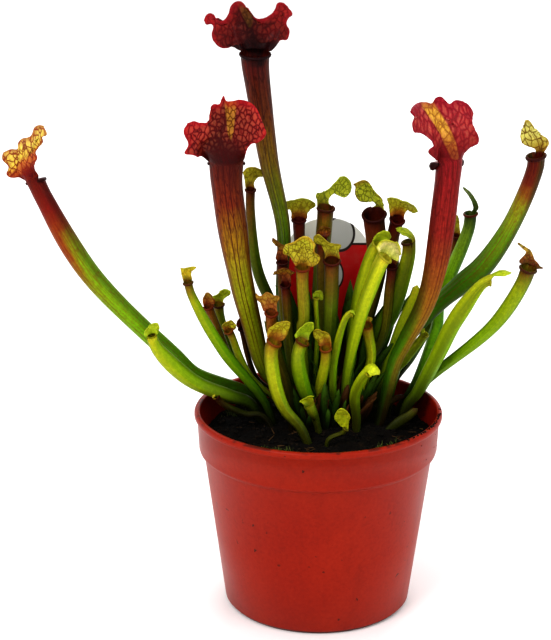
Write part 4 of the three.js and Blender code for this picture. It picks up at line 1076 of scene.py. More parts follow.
# Rows of leaves. root is where a leaf stands in the soil, path its line from there, radii its half widths at
# even steps, facing the way that its mouth looks, in degrees, and slot its slot's name after leaf_. A hood
# has its length, the lean at its neck and its tip, and its outline from the neck up, west up its left side,
# east up its right side and top between their ends. seen is -1 where that was drawn from behind. stripe is
# the start, the end and the width of its pale band. A small hood has its width alone.
largePitchers = {
    "tall": dict(
        slot="red", look="tall", detail="large", root=(-6, 22), keel=0.8, lip=0.2,
        path=((-9, 22, 82), (-13, 21, 108), (-12.5, 16, 136.5), (-18, 11.5, 163.5), (-21, 8, 185.5),
              (-22.5, 5, 199), (-22.5, 5, 202)),
        radii=(1.9, 2, 2.2, 2.8, 3.7, 4.6),
        hood=dict(
            long=19, lean=(-8, 22), cup=-0.03, ruffle=0.5, waves=2, frill=1.2, frills=6, cell=2.2,
            stripe=(-2, 8, -5, 18, 3.4),
            west=((-5.6, -1.5), (-7.4, 1.5), (-9.6, 1), (-12.6, 1.4), (-14.9, 4.3), (-14.6, 7.5),
                  (-15, 8.4), (-17.1, 8.3)),
            top=((-17.9, 9.6), (-17.3, 11), (-15.9, 11.8), (-14.5, 11.4), (-13.4, 9.7), (-11.3, 9.5),
                 (-9.6, 11.2), (-8.6, 14), (-6.9, 15.5), (-4.8, 15.6), (-1.3, 11.5), (0.8, 10.7),
                 (3.2, 11.3), (5.3, 12.6), (6.6, 14.4), (7.3, 16.4), (9, 16.7), (10.4, 15.5)),
            east=((5.1, -1.3), (8.2, 3.6), (11, 4.1), (11.6, 6.8), (10.4, 9.4), (11.2, 11.1), (12.4, 11.7),
                  (11.6, 13.7)))),
    "netted": dict(
        slot="red", look="netted", detail="large", root=(-9, 18), facing=90, keel=0.8,
        path=((-13, 15, 75), (-19.5, 12.5, 85), (-24.5, 8, 105), (-29, 0.5, 129.5), (-32.5, -3, 159),
              (-32.5, -4, 165.5)),
        radii=(1.8, 2.7, 3.5, 4.3, 5.2, 5.6),
        hood=dict(
            long=28.2, lean=(-12, 18), seen=-1, cup=-0.04, ruffle=0.5, waves=2, frill=0.9, cell=1.9,
            stripe=(1.2, 11, 1.2, 21, 2.2),
            west=((-6.5, 0.2), (-8.8, 4.7), (-11.2, 6.8), (-14.2, 8.2), (-12.9, 10.4), (-14.2, 14),
                  (-14.3, 16)),
            top=((-13.1, 17.6), (-11.1, 17.9), (-9.1, 17), (-7.1, 16.8), (-5.7, 17.4), (-5.4, 18.8),
                 (-5.5, 21.1), (-4.4, 22.5), (-2.3, 22.4), (-1.1, 25.2), (-0.3, 23.5), (1.7, 23.4),
                 (4.1, 24), (6.7, 23.7), (8.9, 22.7), (10.6, 20.7), (11.4, 18.4)),
            east=((6.2, -0.1), (6.7, 6.8), (7.9, 9), (10.3, 10.6), (12.1, 12.7), (12.9, 15)))),
    "far_left": dict(
        slot="red", look="farLeft", detail="large", root=(-16, 17.5), facing=60, keel=0.5,
        path=((-20, 16.5, 70), (-45, 7, 84), (-52.5, 5, 92), (-81.5, -1, 125), (-96, -4.5, 153.5),
              (-98.5, -5, 159.5)),
        radii=(1.7, 2.6, 3.3, 3.4, 3.8, 3),
        hood=dict(
            long=19.9, lean=(-5, 35), seen=-1, arc=0.9, cup=-0.03, ruffle=0.7, waves=2, frill=0.8,
            west=((-1.8, 0.1), (-3.3, 1.8), (-3.9, 3.4), (-6.3, 4.6), (-6.9, 5.6), (-5.4, 7.9),
                  (-6.1, 10.7)),
            top=((-5.7, 12.5), (-3.4, 13), (-0.4, 12.6), (0, 14.3), (2.5, 15.2), (8.5, 15), (10.9, 17),
                 (13.3, 17.3), (15.4, 16.9)),
            east=((6.1, 1.1), (5.4, 2.9), (5, 5.3), (8.7, 8.6), (8.3, 10.2), (10.8, 11.7), (13.5, 12.5),
                  (14, 13.6), (17.8, 14.2)))),
    "red_right": dict(
        slot="red", look="redRight", detail="large", root=(21, 6), facing=118, keel=0.8, lip=2.6,
        path=((28, 6.5, 89.5), (31, 5.5, 96.5), (39, -0.5, 117), (44.5, -3, 163), (44.5, -3, 165.5)),
        radii=(1.8, 2.3, 3, 3.8, 4.5, 4.4),
        hood=dict(
            long=26.1, lean=(-16, 45), seen=-1, cup=-0.03, ruffle=0.6, waves=2, frill=0.9, cell=2.2,
            stripe=(1, -3, -9.5, 20, 3.6),
            west=((-7.6, 2.4), (-12.1, 6.3), (-9.9, 7.8), (-11.5, 10.1), (-15, 12.2), (-20, 12.8),
                  (-20.5, 14.6), (-18.4, 16.2)),
            top=((-19.6, 17.7), (-17.1, 19.3), (-13.4, 20.6), (-9.9, 21), (-7.5, 20.5), (-5.2, 21.9),
                 (-3.1, 22), (-1.1, 19.7), (1.1, 20.5), (3.4, 20.5), (5.7, 19.6), (7.3, 18.1), (7.7, 16.8)),
            east=((2.5, 1.2), (3, 2.5), (6.8, 5.7), (8.7, 8), (8.4, 9.5), (6.8, 11.5), (6.2, 14)))),
    "far_right": dict(
        slot="olive", look="farRight", detail="large", root=(21, 27), facing=235, keel=0.5,
        path=((24, 26, 76), (43.5, 16, 108), (52.5, 12, 118), (59, 10, 124.5), (68.5, 5.5, 141.5),
              (75.5, 3, 163), (75.5, 3, 166.5)),
        radii=(1.7, 2.2, 2.6, 3.9, 3.2, 2.9),
        hood=dict(
            long=14.7, arc=0.55, cup=0.03, waves=2,
            west=((0.3, 0.3), (-1, 1.2), (-5.8, 3), (-6.7, 4.9), (-6.1, 8)),
            top=((-4.5, 10.7), (-3.3, 12.4), (-2.2, 12.3), (-1.4, 10.6), (-1.3, 8.9)),
            east=((3, 0.5), (3, 1.9), (3.6, 3.6), (2.7, 5.5), (-0.6, 7.6)))),
}

smallPitchers = {
    "back_1": dict(
        slot="green", look="olive", root=(-11, 30), facing=-80,
        path=((-12, 30, 80), (-13, 28, 95), (-22, 21, 119.5), (-24.5, 17, 143.5), (-24.5, 16, 151.5)),
        radii=(1.3, 1.6, 1.8, 2.1, 1.9, 1.6),
        hood=dict(
            long=9.7, lean=(-5, 35), cup=0.03, west=((-1.6, -0.2), (-1.9, 3.1)),
            top=((-2.6, 6.1), (-1.3, 7.7), (0.8, 8.4), (3, 7.8), (4.9, 6.5)),
            east=((2, -0.4), (1.5, 1.8), (3, 3.9), (4.9, 4.5)))),
    "back_2": dict(
        slot="brown", look="umbrella", detail="medium", root=(-5, 28),
        path=((-5, 27, 85), (-6, 24, 108), (-7, 21, 136), (-7, 21, 139)),
        radii=(1.3, 1.4, 1.5, 1.6, 1.8, 2.2),
        hood=dict(
            long=8.5, lean=(-5, 35), cup=-0.05, west=((-2.5, -1.1), (-3.1, 3), (-4.7, 3.1)),
            top=((-6, 4.4), (-4, 6.1), (-1.1, 7), (1.8, 7.2), (4, 6.7), (5.8, 5.5)),
            east=((2.8, -1), (3, 1.7), (3.9, 2.9), (6, 4.5)))),
    "back_3": dict(
        slot="olive", look="oliveVeined", detail="medium", root=(3, 25), facing=-65,
        path=((2, 23, 75), (0, 20, 98), (2.5, 17, 143), (2.5, 17, 144.5)),
        radii=(1.4, 1.8, 2.1, 2.5, 2.8, 2.8),
        hood=dict(
            long=12.8, west=((-1.3, 0.5), (-2.6, 4.2), (-0.9, 4.4), (1.2, 5.4), (3.7, 7.9)),
            top=((5.8, 10.7), (7.2, 10.6), (8.7, 9.9), (10.2, 8.5), (10.9, 6.5), (10.8, 4.6)),
            east=((3.5, -0.7), (2.5, 0.6), (2.4, 1.9), (3.3, 3.5), (4.6, 4.2), (6.6, 3.1), (8.8, 2.4)))),
    "back_4": dict(
        slot="brown", look="brown", root=(2, 18), facing=-70,
        path=((2, 15, 78), (1, 11, 131), (1, 11, 134.5)), radii=(1.2, 1.3, 1.5, 1.6, 1.7, 1.7),
        hood=dict(
            long=5.1, west=((-0.9, -0.1), (-1.1, 2.2)), top=((-0.2, 3.7), (1.6, 4.1), (3.6, 3.5)),
            east=((3, -0.4), (4.3, 1.8)))),
    "back_5": dict(
        slot="brown", look="brownVeined", detail="medium", root=(10, 22), facing=-120,
        path=((13, 21, 78), (21.5, 16, 124.5), (20, 14, 141), (20, 13.5, 143)),
        radii=(1.5, 2, 2.6, 3.1, 3.7, 3.8),
        hood=dict(
            long=13, lean=(-8, 35), arc=0.75,
            west=((-0.4, -1.2), (-1.2, 0.9), (-2.7, 2), (-5.4, 0.9), (-8, 1.1), (-9.4, 3.9), (-9.3, 7.1)),
            top=((-10, 8.1), (-4.7, 10.9), (-3.9, 9.6), (-3.1, 6.3)),
            east=((3, -0.8), (1.1, 2), (0.8, 3.5), (-0.5, 5)))),
    "back_6": dict(
        slot="brown", look="umbrella", detail="medium", root=(15, 28), facing=-95,
        path=((19, 26, 82), (28, 22, 108), (27, 18, 132), (28, 17, 138), (28.5, 16, 140.5)),
        radii=(1.3, 1.5, 1.7, 1.9, 2.1, 2.3),
        hood=dict(
            long=9.1, lean=(-5, 35), cup=-0.05, west=((-2.3, -1.6), (-3.3, 1.4)),
            top=((-5.5, 6), (-4.4, 7.3), (0.1, 7.2), (1.9, 7.7), (6.5, 3)),
            east=((2.1, -0.4), (2.1, 1.7), (2.8, 3.3), (4.9, 2.2)))),
    "middle_1": dict(
        slot="yellow", look="yellowVeined", detail="medium", root=(-4, 8),
        path=((-4.5, 5, 82), (-6, 0, 106), (-5.5, -0.5, 107.5), (-6, -3, 123), (-6, -3.5, 128)),
        radii=(1.3, 1.5, 1.7, 1.9, 2.1, 2.2),
        hood=dict(
            long=14.3, lean=(0, 45), cup=-0.04, ruffle=0.7, frill=0.7, cell=1.7,
            west=((-2.3, 0.2), (-3.7, 2.4), (-6.4, 3.4), (-6.9, 4.4)),
            top=((-5.7, 7.2), (-4.3, 8.8), (-0.3, 11.8), (1.6, 11.2), (4.5, 8)),
            east=((2.4, -0.3), (4, -0.5), (5.6, 0.6), (6.1, 2.4), (4.1, 5.8)))),
    "middle_2": dict(
        slot="brown", look="brown", root=(-8, 10),
        path=((-9, 10, 80), (-12.5, 9.5, 108), (-13, 8.5, 123.5), (-13, 8.5, 126.5)),
        radii=(1.2, 1.3, 1.5, 1.6, 1.8, 1.8),
        hood=dict(
            long=10.1, lean=(-5, 35), cup=0.05, ruffle=0.5, frill=0.5,
            west=((-1.3, -0.6), (-2.4, 1.2), (-1.4, 4.8), (-3.8, 7.5)),
            top=((-3.6, 8.7), (-1, 6.5), (0.2, 5.9), (2.2, 5.7)), east=((2.2, -0.5), (1.6, 4.8)))),
    "middle_3": dict(
        slot="brown", look="brown", root=(-8, 5), path=((-9, 5, 82), (-11.5, 3, 114), (-12, 2, 120)),
        radii=(1.2, 1.3, 1.4, 1.6, 1.7, 1.6),
        hood=dict(
            long=7.1, lean=(-5, 35), cup=-0.05,
            west=((-1.4, -0.1), (-1.1, 3.3), (-2.4, 4.1), (-3.9, 3.3)),
            top=((-3.5, 4.9), (-1.9, 5.7), (-0.3, 6), (1.7, 5.4), (3.7, 3.8)),
            east=((2, -0.3), (2.5, 3.1)))),
    "middle_4": dict(
        slot="olive", look="olive", detail="medium", root=(2, 13), facing=-85,
        path=((3.5, 9, 78), (4.5, 3, 121.5), (4.5, 2, 129)), radii=(1.4, 1.8, 2.1, 2.5, 2.6, 2.6),
        hood=dict(
            long=11, lean=(0, 40), cup=-0.04, frill=0.5,
            west=((-2.1, -0.4), (-2.5, 2.2), (-3.3, 4.2), (-6.4, 6.4)),
            top=((-5.8, 8.5), (-4.8, 9.1), (-1.4, 6.4), (3.4, 4.4)),
            east=((3.1, -0.3), (2.8, 3), (3.5, 3.8)))),
    "middle_5": dict(
        slot="green", look="lime", root=(9, 16), facing=-70,
        path=((12, 13, 84), (12.5, 11, 98), (19, 5, 131), (21, 4, 134.5)),
        radii=(1.2, 1.6, 2, 2.3, 2.6, 2.1),
        hood=dict(
            long=7, lean=(-5, 50), cup=0.08, west=((-0.9, -1.8), (-2.6, 0.6)),
            top=((-1.8, 1.6), (-0.6, 4.7), (0.7, 5.5), (2.9, 4.7)), east=((3.9, -1), (4.2, 2)))),
    "middle_6": dict(
        slot="green", look="pale", root=(10, 7), facing=-60,
        path=((10, 5, 77), (12, 2, 95.5), (15.5, -2, 112), (22, -3.5, 130.5), (23, -3.5, 132)),
        radii=(1.2, 1.5, 1.8, 2.2, 2.6, 2.5),
        hood=dict(
            long=8.6, lean=(0, 60), cup=0.08, ruffle=0.5, frill=0.5, west=((-1.5, -1.3),),
            top=((-4.7, 1.4), (-4.1, 5.7), (-2, 6.3), (4, 5.4)),
            east=((5.7, -0.6), (6.6, -0.3), (6.9, 1.5), (6.1, 3.9)))),
    "middle_7": dict(
        slot="olive", look="green", root=(19, 20), facing=185, lip=0.5,
        path=((24, 18, 98), (27, 16.5, 105.5), (32.5, 11.5, 128.5), (32.5, 11, 133.5)),
        radii=(1.4, 2, 2.6, 3.1, 2.9, 2.2),
        hood=dict(long=10, wide=7, lean=(10, 100), cup=0.25, ruffle=0.1)),
    "middle_8": dict(
        slot="brown", look="brown", root=(15, 17),
        path=((18, 15, 82), (24.5, 14, 99), (26, 11, 117.5), (26.5, 10, 124.5)),
        radii=(1.1, 1.3, 1.5, 1.7, 1.8, 1.7),
        hood=dict(long=3.5, wide=4, lean=(0, 80), cup=0.2, ruffle=0.1)),
    "right_1": dict(
        slot="green", look="greenDark", root=(28, 20), facing=225, lip=0.5,
        path=((30.5, 19.5, 64.5), (37.5, 19, 76.5), (44.5, 21.5, 98.5), (45, 23, 106), (55, 22, 135.5),
              (55.5, 22, 141)),
        radii=(1.3, 2.3, 2.3, 2.2, 2.5, 2.1),
        hood=dict(
            long=10.2, lean=(-5, 30), arc=0.6, cup=0.05, ruffle=0, frill=0,
            west=((-0.2, -0.4), (-0.5, 2)), top=((-4.2, 8.4), (-4.2, 8.9), (-3.7, 8.9)),
            east=((1.9, 0.1), (1.7, 2.5), (0.3, 4.7), (-1.4, 6.9)))),
    "right_2": dict(
        slot="olive", look="olive", root=(26, 25),
        path=((29, 26.5, 74), (36, 28.5, 84), (48.5, 31, 109.5), (50.5, 28, 125.5), (51, 27, 131.5)),
        radii=(1, 1.2, 1.5, 1.7, 1.9, 1.5),
        hood=dict(
            long=8.5, lean=(-5, 30), cup=0.03, west=((-1.4, -0.9), (-2.1, 1.9), (-2, 4.6)),
            top=((-1.2, 6.9), (-0.6, 7.4), (0.3, 6.3)), east=((1.7, -0.5),))),
    "right_3": dict(
        slot="green", look="lime", root=(29, 9), facing=0, slant=2.5,
        path=((33, 9, 72), (36, 8.5, 76), (43, 6.5, 91), (48.5, 3, 105.5), (55.5, 1, 117.5),
              (58.5, 0.5, 121), (61, 0, 122.5)),
        radii=(1.2, 1.8, 2.4, 2.7, 2.8, 1.7),
        hood=dict(long=8.5, wide=3.8, lean=(0, 40), cup=0.2, ruffle=0.1)),
    "right_4": dict(
        slot="green", look="cupBrown", root=(30, 15), facing=-100, lip=0.6,
        path=((35, 15, 71), (38, 15, 76.5), (63.5, 3.5, 105), (72.5, -0.5, 122), (74, -1, 127)),
        radii=(1.2, 1.7, 1.8, 2.2, 2.6, 2.6),
        hood=dict(
            long=7.7, lean=(-10, 25), cup=-0.03,
            west=((-2.6, -1.4), (-3.7, 0.6), (-2.7, 4.3), (-3.9, 5.2)), top=((-6.5, 6.1), (-5.9, 6.6)),
            east=((2.6, -0.2), (4.8, 0.7), (1.8, 2), (-1, 5), (-3.2, 6)))),
    "right_5": dict(
        slot="green", look="lime", root=(25, 16), facing=10, lip=0.25,
        path=((28.5, 15, 83.5), (32, 14.5, 87.5), (38.5, 13.5, 96.5), (39, 13, 98)),
        radii=(1.2, 1.7, 2.1, 1.4), hood=dict(long=2.5, wide=3, lean=(0, 60), cup=0.2, ruffle=0.1)),
    "left_1": dict(
        slot="green", look="cup", root=(-14, 6), facing=-80, lip=0.6,
        path=((-19.5, 6, 74), (-34.5, 1.5, 95.5), (-45.5, -2, 118), (-46.5, -2, 122)),
        radii=(1.1, 1.6, 1.9, 2.1, 1.9, 1.4),
        hood=dict(
            long=6.9, lean=(-5, 45), cup=0.1, west=((-1.5, 0.7),),
            top=((-1.5, 5.7), (0.2, 5.3), (4.2, 5.2)), east=((1.7, -0.2), (2.1, 3)))),
    "left_2": dict(
        slot="brown", look="orange", root=(-21.5, 20.5),
        path=((-24, 19.5, 75), (-31.5, 16, 86), (-39, 13.5, 105.5), (-40, 13, 108.5)),
        radii=(1.1, 1.3, 1.5, 1.6),
        hood=dict(
            long=6, cup=0.08, west=((-1.7, 0.3), (-1.5, 2), (-0.6, 3.6)),
            top=((0.8, 5), (2, 4.9), (2.5, 3.3)), east=((1.8, -1), (2.6, 0.5)))),
    "left_3": dict(
        slot="green", look="green", root=(-19, 25),
        path=((-21.5, 25, 74), (-30, 21.5, 85), (-36, 19.5, 103), (-36.5, 19, 107.5)),
        radii=(1.1, 1.2, 1.4, 1.8),
        hood=dict(
            long=6.4, cup=0.05, west=((-2.2, -0.3), (-2.2, 1.3), (-1.8, 2.3)),
            top=((1.2, 4.5), (3.1, 5.2), (4.9, 5.3)), east=((1.8, -0.7), (2, 1.1), (4.4, 3)))),
    "left_4": dict(
        slot="green", look="yellowNeck", root=(-11, 13),
        path=((-14, 12, 71), (-25, 9.5, 82.5), (-31.5, 6.5, 99.5), (-32.5, 6, 101.5)),
        radii=(1, 1.2, 1.4, 1.4),
        hood=dict(
            long=5.4, lean=(0, 60), cup=0.12, west=((-1.3, 0.2), (-1.6, 1.6), (-0.8, 2.9)),
            top=((0.7, 4), (2.3, 3.9), (3.5, 0.4)), east=((1.4, -1.3), (2.4, -1.2)))),
    "left_5": dict(
        slot="brown", look="redDark", root=(-13, 25.5),
        path=((-15, 24.5, 69), (-23, 22, 78), (-27, 16, 96), (-27.5, 15, 99.5)), radii=(0.9, 1, 1, 1.4),
        hood=dict(
            long=5.9, cup=0.08, west=((-1.7, -0.1), (-2, 1.7)),
            top=((-1.5, 3), (0.4, 4.9), (1, 2.9), (1.5, 2.3)), east=((1.5, -0.8), (1.8, 1)))),
    "left_6": dict(
        slot="brown", look="orange", root=(-9, 0),
        path=((-11, 0.5, 82), (-15, 0, 94.5), (-17, -1.5, 106), (-17, -2.5, 111)),
        radii=(1.2, 1.5, 1.8, 2),
        hood=dict(
            long=8, lean=(-8, 30), cup=-0.06, ruffle=0.5, frill=0.6, frills=12,
            west=((-2.6, -1.3), (-3, 0.8), (-5.5, 4.5)),
            top=((-5.4, 5.8), (-4.3, 5.4), (-0.8, 6.9), (0.8, 6.4), (3, 4.5)),
            east=((2.2, -1.2), (2.1, 2)))),
    "left_7": dict(
        slot="green", look="lime", root=(-17, 13), facing=-80,
        path=((-25, 8.5, 72.5), (-32, 4, 77), (-45, 0, 84), (-57, -5, 97.5), (-59, -6, 101.5),
              (-59.5, -6, 103.5)),
        radii=(1.2, 1.7, 2.2, 2.3, 2.6, 1.5),
        hood=dict(
            long=5.8, lean=(0, 55), cup=0.12, west=((-1.6, -0.6), (-2.5, 0.4), (-1.9, 2)),
            top=((-0.1, 3.1), (1.6, 4.1), (3.2, 4.4), (3.5, 2.6)), east=((1.5, -0.7), (2.7, 0.3)))),
    "front_1": dict(
        slot="yellow", look="yellowNeck", root=(-1, -12), facing=-70,
        path=((-6.5, -10.5, 70), (-12, -9, 77), (-15.5, -8, 85.5), (-17, -8, 99), (-16, -8, 102)),
        radii=(1.4, 1.9, 2.5, 2.4),
        hood=dict(
            long=10.9, lean=(-5, 50), cup=0.1, west=((-2.5, -0.9), (-3.1, 1.2), (-3.1, 3.1)),
            top=((-1.6, 6.7), (1.3, 8.7), (2.5, 8.7)), east=((2.9, 0.2), (4.1, 3.9), (3.7, 6.5)))),
    "front_2": dict(
        slot="green", look="greenMouth", root=(-1, 3), facing=-70,
        path=((-4, 0, 77), (-5.5, -2.5, 82.5), (-7.5, -6, 95), (-7, -6, 99), (-6, -6, 101.5)),
        radii=(1.3, 2.1, 2.7, 2.2),
        hood=dict(
            long=9.2, lean=(-5, 50), cup=0.1, west=((-1.7, -1.5), (-3.1, 0.6), (-2.9, 2.7)),
            top=((-1.3, 6.3), (-0.4, 7), (0.8, 7.3), (1.7, 6.7)),
            east=((3.1, -0.1), (2.6, 1.4), (2.7, 4.9)))),
    "front_3": dict(
        slot="yellow", look="yellowNeck", root=(2, 8), facing=-110,
        path=((-1, 5, 72.5), (0, 3.5, 76.5), (2.5, -2.5, 93), (2.5, -3.5, 98)), radii=(1.2, 1.6, 2, 1.8),
        hood=dict(
            long=11.9, lean=(-5, 60), cup=0.1, west=((-2.4, -0.5), (-4, 2.2)),
            top=((-4.6, 4.2), (-4.6, 6), (-3.7, 7.9), (-2, 9.2)), east=((1.9, 0), (1.6, 2.3), (0.7, 4.8)))),
    "front_4": dict(
        slot="green", look="lime", root=(-2, 12.5), facing=-80, lip=0.2,
        path=((-0.5, 4.5, 100.5), (-1, 4, 112), (-1, 4, 114.5)), radii=(0.9, 0.9, 0.9, 0.9),
        hood=dict(
            long=3.8, lean=(0, 60), cup=0.15, ruffle=0.1, frill=0.1, west=((-1.1, -0.2), (-1, 1.3)),
            top=((-0.2, 2.6), (0.8, 2.8), (2.2, 2.2), (2.8, 0.8)),
            east=((1, -0.7), (1.8, -1.3), (2.7, -1)))),
    "front_5": dict(
        slot="green", look="lime", root=(6, 4), facing=0, lip=0.25,
        path=((5.5, 0.5, 91.5), (10, -1.5, 109.5), (11.5, -1.5, 110.5)), radii=(1, 1.1, 1.3, 1.1),
        hood=dict(long=3.6, wide=3.4, lean=(20, 100), cup=0.3, ruffle=0.1)),
    "front_6": dict(
        slot="yellow", look="yellowNeck", root=(14, 11), facing=-80,
        path=((17, 9, 80), (19.5, 8, 90.5), (18, 6.5, 100.5), (17.5, 6, 103.5)),
        radii=(1, 1.2, 1.4, 1.7), hood=dict(long=3.4, wide=5.2, lean=(0, 50), cup=0.1)),
    "front_7": dict(
        slot="yellow", look="limeBright", root=(14, 0), facing=-15,
        path=((14, 0.5, 69), (13, -0.5, 78.5), (15.5, -3.5, 86.5), (17.5, -4.5, 89.5)),
        radii=(1.3, 1.5, 1.8, 1.8), hood=dict(long=8, wide=8.5, lean=(0, 140), cup=0.25)),
    "front_8": dict(
        slot="yellow", look="limeBright", root=(2, -2),
        path=((-1, -4, 71), (-2, -6, 74.5), (-3.5, -6, 77.5)), radii=(1, 1, 1.1, 1.7),
        hood=dict(
            long=2.7, lean=(0, 40), cup=0.05, west=((-2.4, 2), (-2.9, 2)), top=((-0.9, 2), (2.9, 2)),
            east=((1.8, 2),))),
}

youngLeaves = {
    "front": dict(
        slot="yellow", look="limeBright", root=(4, -13), flat=0.8, lip=0.2,
        path=((3.5, -13.5, 67), (8.5, -14.5, 70), (9.5, -15, 71.5)), radii=(0.7, 0.7, 0.9, 0.9),
        hood=dict(
            long=7.9, lean=(-5, 20), cup=0.03, ruffle=0.1, frill=0.1, west=((-0.6, -0.9), (-5.3, 1.1)),
            top=((-6.3, 3.3), (-6.5, 5.7), (-6, 7.4), (-4.3, 7.2), (-2, 5.9), (-1, 4.8)),
            east=((1.1, -0.1), (-0.4, 2.7)))),
    "left_low": dict(
        slot="olive", look="olive", root=(-13, 1), facing=0, flat=0.9,
        path=((-20.5, 3, 69.5), (-26.5, 2.5, 70.5), (-35, 0.5, 75.5), (-37, 0, 78)),
        radii=(0.9, 0.9, 1.1, 1.3), hood=dict(long=3, wide=3.2, lean=(0, 90))),
    "left_back": dict(
        slot="olive", look="olive", root=(-16.5, 29.6), facing=90, flat=0.7,
        path=((-25, 27, 70), (-29.5, 25.5, 72.5), (-33, 25, 75)), radii=(0.9, 1.2, 1.5, 1.3)),
    "right_low": dict(
        slot="olive", look="olive", root=(20, 11), facing=90, flat=0.8,
        path=((19, 12, 68), (24, 12, 70.5), (29, 12.5, 73), (31.5, 12.5, 73.5)),
        radii=(0.9, 1.2, 1.6, 1.1)),
    "right_front": dict(
        slot="olive", look="green", root=(20, 0.5), facing=90, flat=0.6,
        path=((25.5, 1.5, 64.5), (33, 3, 69.5), (35.5, 3.5, 71.5)), radii=(0.9, 1.1, 1.9, 1.5)),
    "middle": dict(
        slot="green", look="green", root=(7.8, 9.5), flat=0.8, path=((7.6, 9.2, 76), (7.2, 8.8, 83)),
        base=0.9, end=0.5, belly=0.5),
    "broad": dict(
        slot="green", look="lime", root=(19, 15.5), flat=0.6,
        path=((24, 14, 77.5), (34, 11.5, 110), (35.5, 11, 116)), radii=(1.3, 1.8, 2.4, 2.7, 2.6, 1.4)),
}

# A pitcher's mouth is as wide as its last radius, and a young leaf has none.
leaves = [("pitcher_" + name, leaf) for name, leaf in (largePitchers | smallPitchers).items()]
for _, leaf in leaves:
    leaf["mouth"] = leaf["radii"][-1]
leaves += [("young_leaf_" + name, leaf) for name, leaf in youngLeaves.items()]
for index, (name, leaf) in enumerate(leaves):
    growLeaf(name, leaf, index)
print("leaves done")


# Leaf bases: low stubs, dry sheaths and young blades that crowd the foot of the clump between the leaves.
baseSet = dict(centreX=3, centreY=9, bands=9, sides=10, dry=0.4, dryTall=0.75, spreadOut=0.035, fall=0.015,
               curlX=0.13, curlY=0.06, belly=0.5, tipFrom=0.7, tip=0.93, sunk=2, seed=77,
               streaks=(5, 1.5, 1), soil="2a160a")
baseGroups = (
    dict(count=120, x=3, y=8, wideX=13, wideY=9, low=12, high=34, thin=0.6, thick=1.5),
    dict(count=60, x=4, y=16, wideX=13, wideY=6, low=36, high=60, thin=1.2, thick=2.3),
)
baseKinds = dict(
    green=dict(slot="leaf_green", tones=("10130a", "28400d", "466414")),
    dry=dict(slot="leaf_brown", tones=("130c06", "38220f", "5c3c1a")),
)


def baseMaterial(name, tones):
    material, tree, shader = newMaterial(name, 0.55, 0.15)
    leafCo = attribute(tree, "leafCo")
    streak = grain(stretched(leafCo, baseSet["streaks"]), 3, 3)
    at = plus(axes(leafCo)["Y"], times(minus(streak, 0.5), 0.8))
    # Partly painted shade: the stubs are drawn dark, darkest at their feet, for the shade among the crowded
    # bases; partly their own green and brown.
    colour = ramped(at, tuple(zip((0.1, 0.5, 1), tones)))
    dusty = spread(grain(objectPlace(tree), 500, 3), 0.5, 0.7, 0, 0.5)
    plug(shader.inputs["Base Color"], mixed(dusty, colour, paint(baseSet["soil"])))
    bumped(shader, streak, 0.5, 0.0004)
    return material


def addStub(bm, draw, x, y, tall, size):
    leanX = (x - baseSet["centreX"]) * baseSet["spreadOut"] + draw.gauss(0, 0.12)
    leanY = min(y - baseSet["centreY"], 4) * baseSet["fall"] + draw.gauss(0, 0.04)
    lean = Vector((leanX, leanY, 1)).normalized()
    curl = Vector((draw.gauss(0, baseSet["curlX"]), draw.gauss(0, baseSet["curlY"]), 0)) * tall
    phase, flat = draw.random() * 6, draw.uniform(0.45, 0.85)
    foot = Vector((x, y, soilHeight(x, y) - baseSet["sunk"]))
    verts = bmesh.ops.create_circle(bm, cap_ends=True, segments=baseSet["sides"], radius=1)["verts"]
    turns = {vert: math.atan2(vert.co.y, vert.co.x) for vert in verts}
    edges = [edge for edge in bm.edges if edge.verts[0] in turns and edge.verts[1] in turns]
    layer, co = bm.verts.layers.float["turn"], bm.verts.layers.float_vector["leafCo"]
    for vert, turn in turns.items():
        vert[layer] = turn
    for band in range(baseSet["bands"] + 1):
        if band:
            verts, edges = extrudeRow(bm, edges)
        share = band / baseSet["bands"]
        narrowing = max(0, (share - baseSet["tipFrom"]) / (1 - baseSet["tipFrom"]))
        wide = size * (0.75 + baseSet["belly"] * math.sin(2.6 * share))
        wide *= 1 - narrowing ** 2 * baseSet["tip"]
        middle = foot + lean * tall * share + curl * share ** 2.5
        for vert in verts:
            turn = vert[layer]
            off = Vector((math.cos(turn) * wide, math.sin(turn) * wide * flat, 0))
            vert.co = middle + off * (1 + 0.12 * math.sin(3 * turn + phase + 4 * share))
            vert[co] = (math.sin(turn), share, abs(turn) / math.pi)
    bmesh.ops.pointmerge(bm, verts=verts, merge_co=middle)


def buildBases():
    draw = random.Random(baseSet["seed"])
    meshes = {kind: bmesh.new() for kind in baseKinds}
    for bm in meshes.values():
        bm.verts.layers.float_vector.new("leafCo")
        bm.verts.layers.float.new("turn")
    for group in baseGroups:
        for _ in range(group["count"]):
            kind = "dry" if draw.random() < baseSet["dry"] else "green"
            angle, reach = draw.random() * 2 * math.pi, math.sqrt(draw.random())
            x = group["x"] + group["wideX"] * reach * math.cos(angle)
            y = group["y"] + group["wideY"] * reach * math.sin(angle)
            tall = draw.uniform(group["low"], group["high"]) * (1.1 - 0.4 * reach)
            tall *= baseSet["dryTall"] if kind == "dry" else 1
            addStub(meshes[kind], draw, x, y, tall, draw.uniform(group["thin"], group["thick"]))
    for kind, bm in meshes.items():
        bmesh.ops.recalc_face_normals(bm, faces=bm.faces)
        finishPiece(bm, "leaf_bases_" + kind, baseMaterial(kind + "Base", baseKinds[kind]["tones"]))


buildBases()
print("leaf bases done")

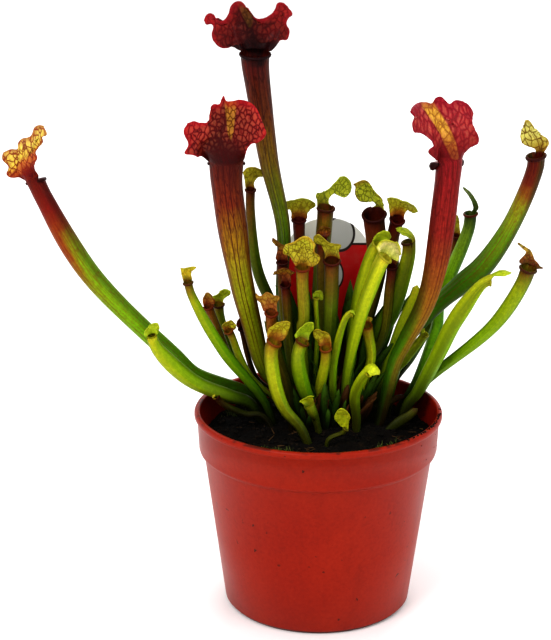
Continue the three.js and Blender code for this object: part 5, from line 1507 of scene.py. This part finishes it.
# Floor, lights and camera. The camera stands where the photograph was taken from. Places and sizes are in
# metres, and pixels are those of the photograph.
stageSet = dict(floor=6.0, floorColour="f4f4f4", floorLight="fbfbfb", sky=0.75,
                cameraX=-0.0155, cameraY=-0.6, cameraZ=0.299, pitch=0.309, focalPixels=1760, longSide=640)
lightSet = dict(
    key=dict(place=(-0.7, -0.9, 1.1), aim=(0, 0, 0.1), size=0.6, watts=7),
    fill=dict(place=(0.9, -0.6, 0.6), aim=(0, 0, 0.1), size=0.7, watts=2.5),
    back=dict(place=(0.2, 0.9, 0.9), aim=(0, 0, 0.12), size=0.8, watts=3),
)


def buildStage():
    bm = bmesh.new()
    bmesh.ops.create_grid(bm, x_segments=1, y_segments=1, size=stageSet["floor"] / 2)
    mesh = meshOf(bm, "floor")
    material, tree, shader = newMaterial("paleFloor", 0.7)
    soft = grain(objectPlace(tree), 3, 2)
    dark, light = paint(stageSet["floorColour"]), paint(stageSet["floorLight"])
    plug(shader.inputs["Base Color"], mixed(soft, dark, light))
    mesh.materials.append(material)
    floor = addObject("floor", mesh)
    world = bpy.data.worlds.new("studio")
    world.use_nodes = True
    world.node_tree.nodes["Background"].inputs["Color"].default_value = (1, 1, 1, 1)
    world.node_tree.nodes["Background"].inputs["Strength"].default_value = stageSet["sky"]
    bpy.context.scene.world = world


def addLights():
    for name, light in lightSet.items():
        data = bpy.data.lights.new(name, "AREA")
        data.shape = "SQUARE"
        data.size = light["size"]
        data.energy = light["watts"]
        lamp = addObject(name, data)
        lamp.location = light["place"]
        way = Vector(light["aim"]) - Vector(light["place"])
        lamp.rotation_euler = way.to_track_quat("-Z", "Y").to_euler()


def addCamera():
    camera = bpy.data.cameras.new("camera")
    camera.sensor_width = 36
    camera.lens = stageSet["focalPixels"] / stageSet["longSide"] * camera.sensor_width
    camera.clip_start = 0.01
    viewer = addObject("camera", camera)
    viewer.location = (stageSet["cameraX"], stageSet["cameraY"], stageSet["cameraZ"])
    viewer.rotation_euler = (math.pi / 2 - stageSet["pitch"], 0, 0)
    bpy.context.scene.camera = viewer


buildStage()
addLights()
addCamera()
bpy.context.scene.view_settings.view_transform = "Standard"
bpy.context.scene.view_settings.look = "High Contrast"
print("stage done")
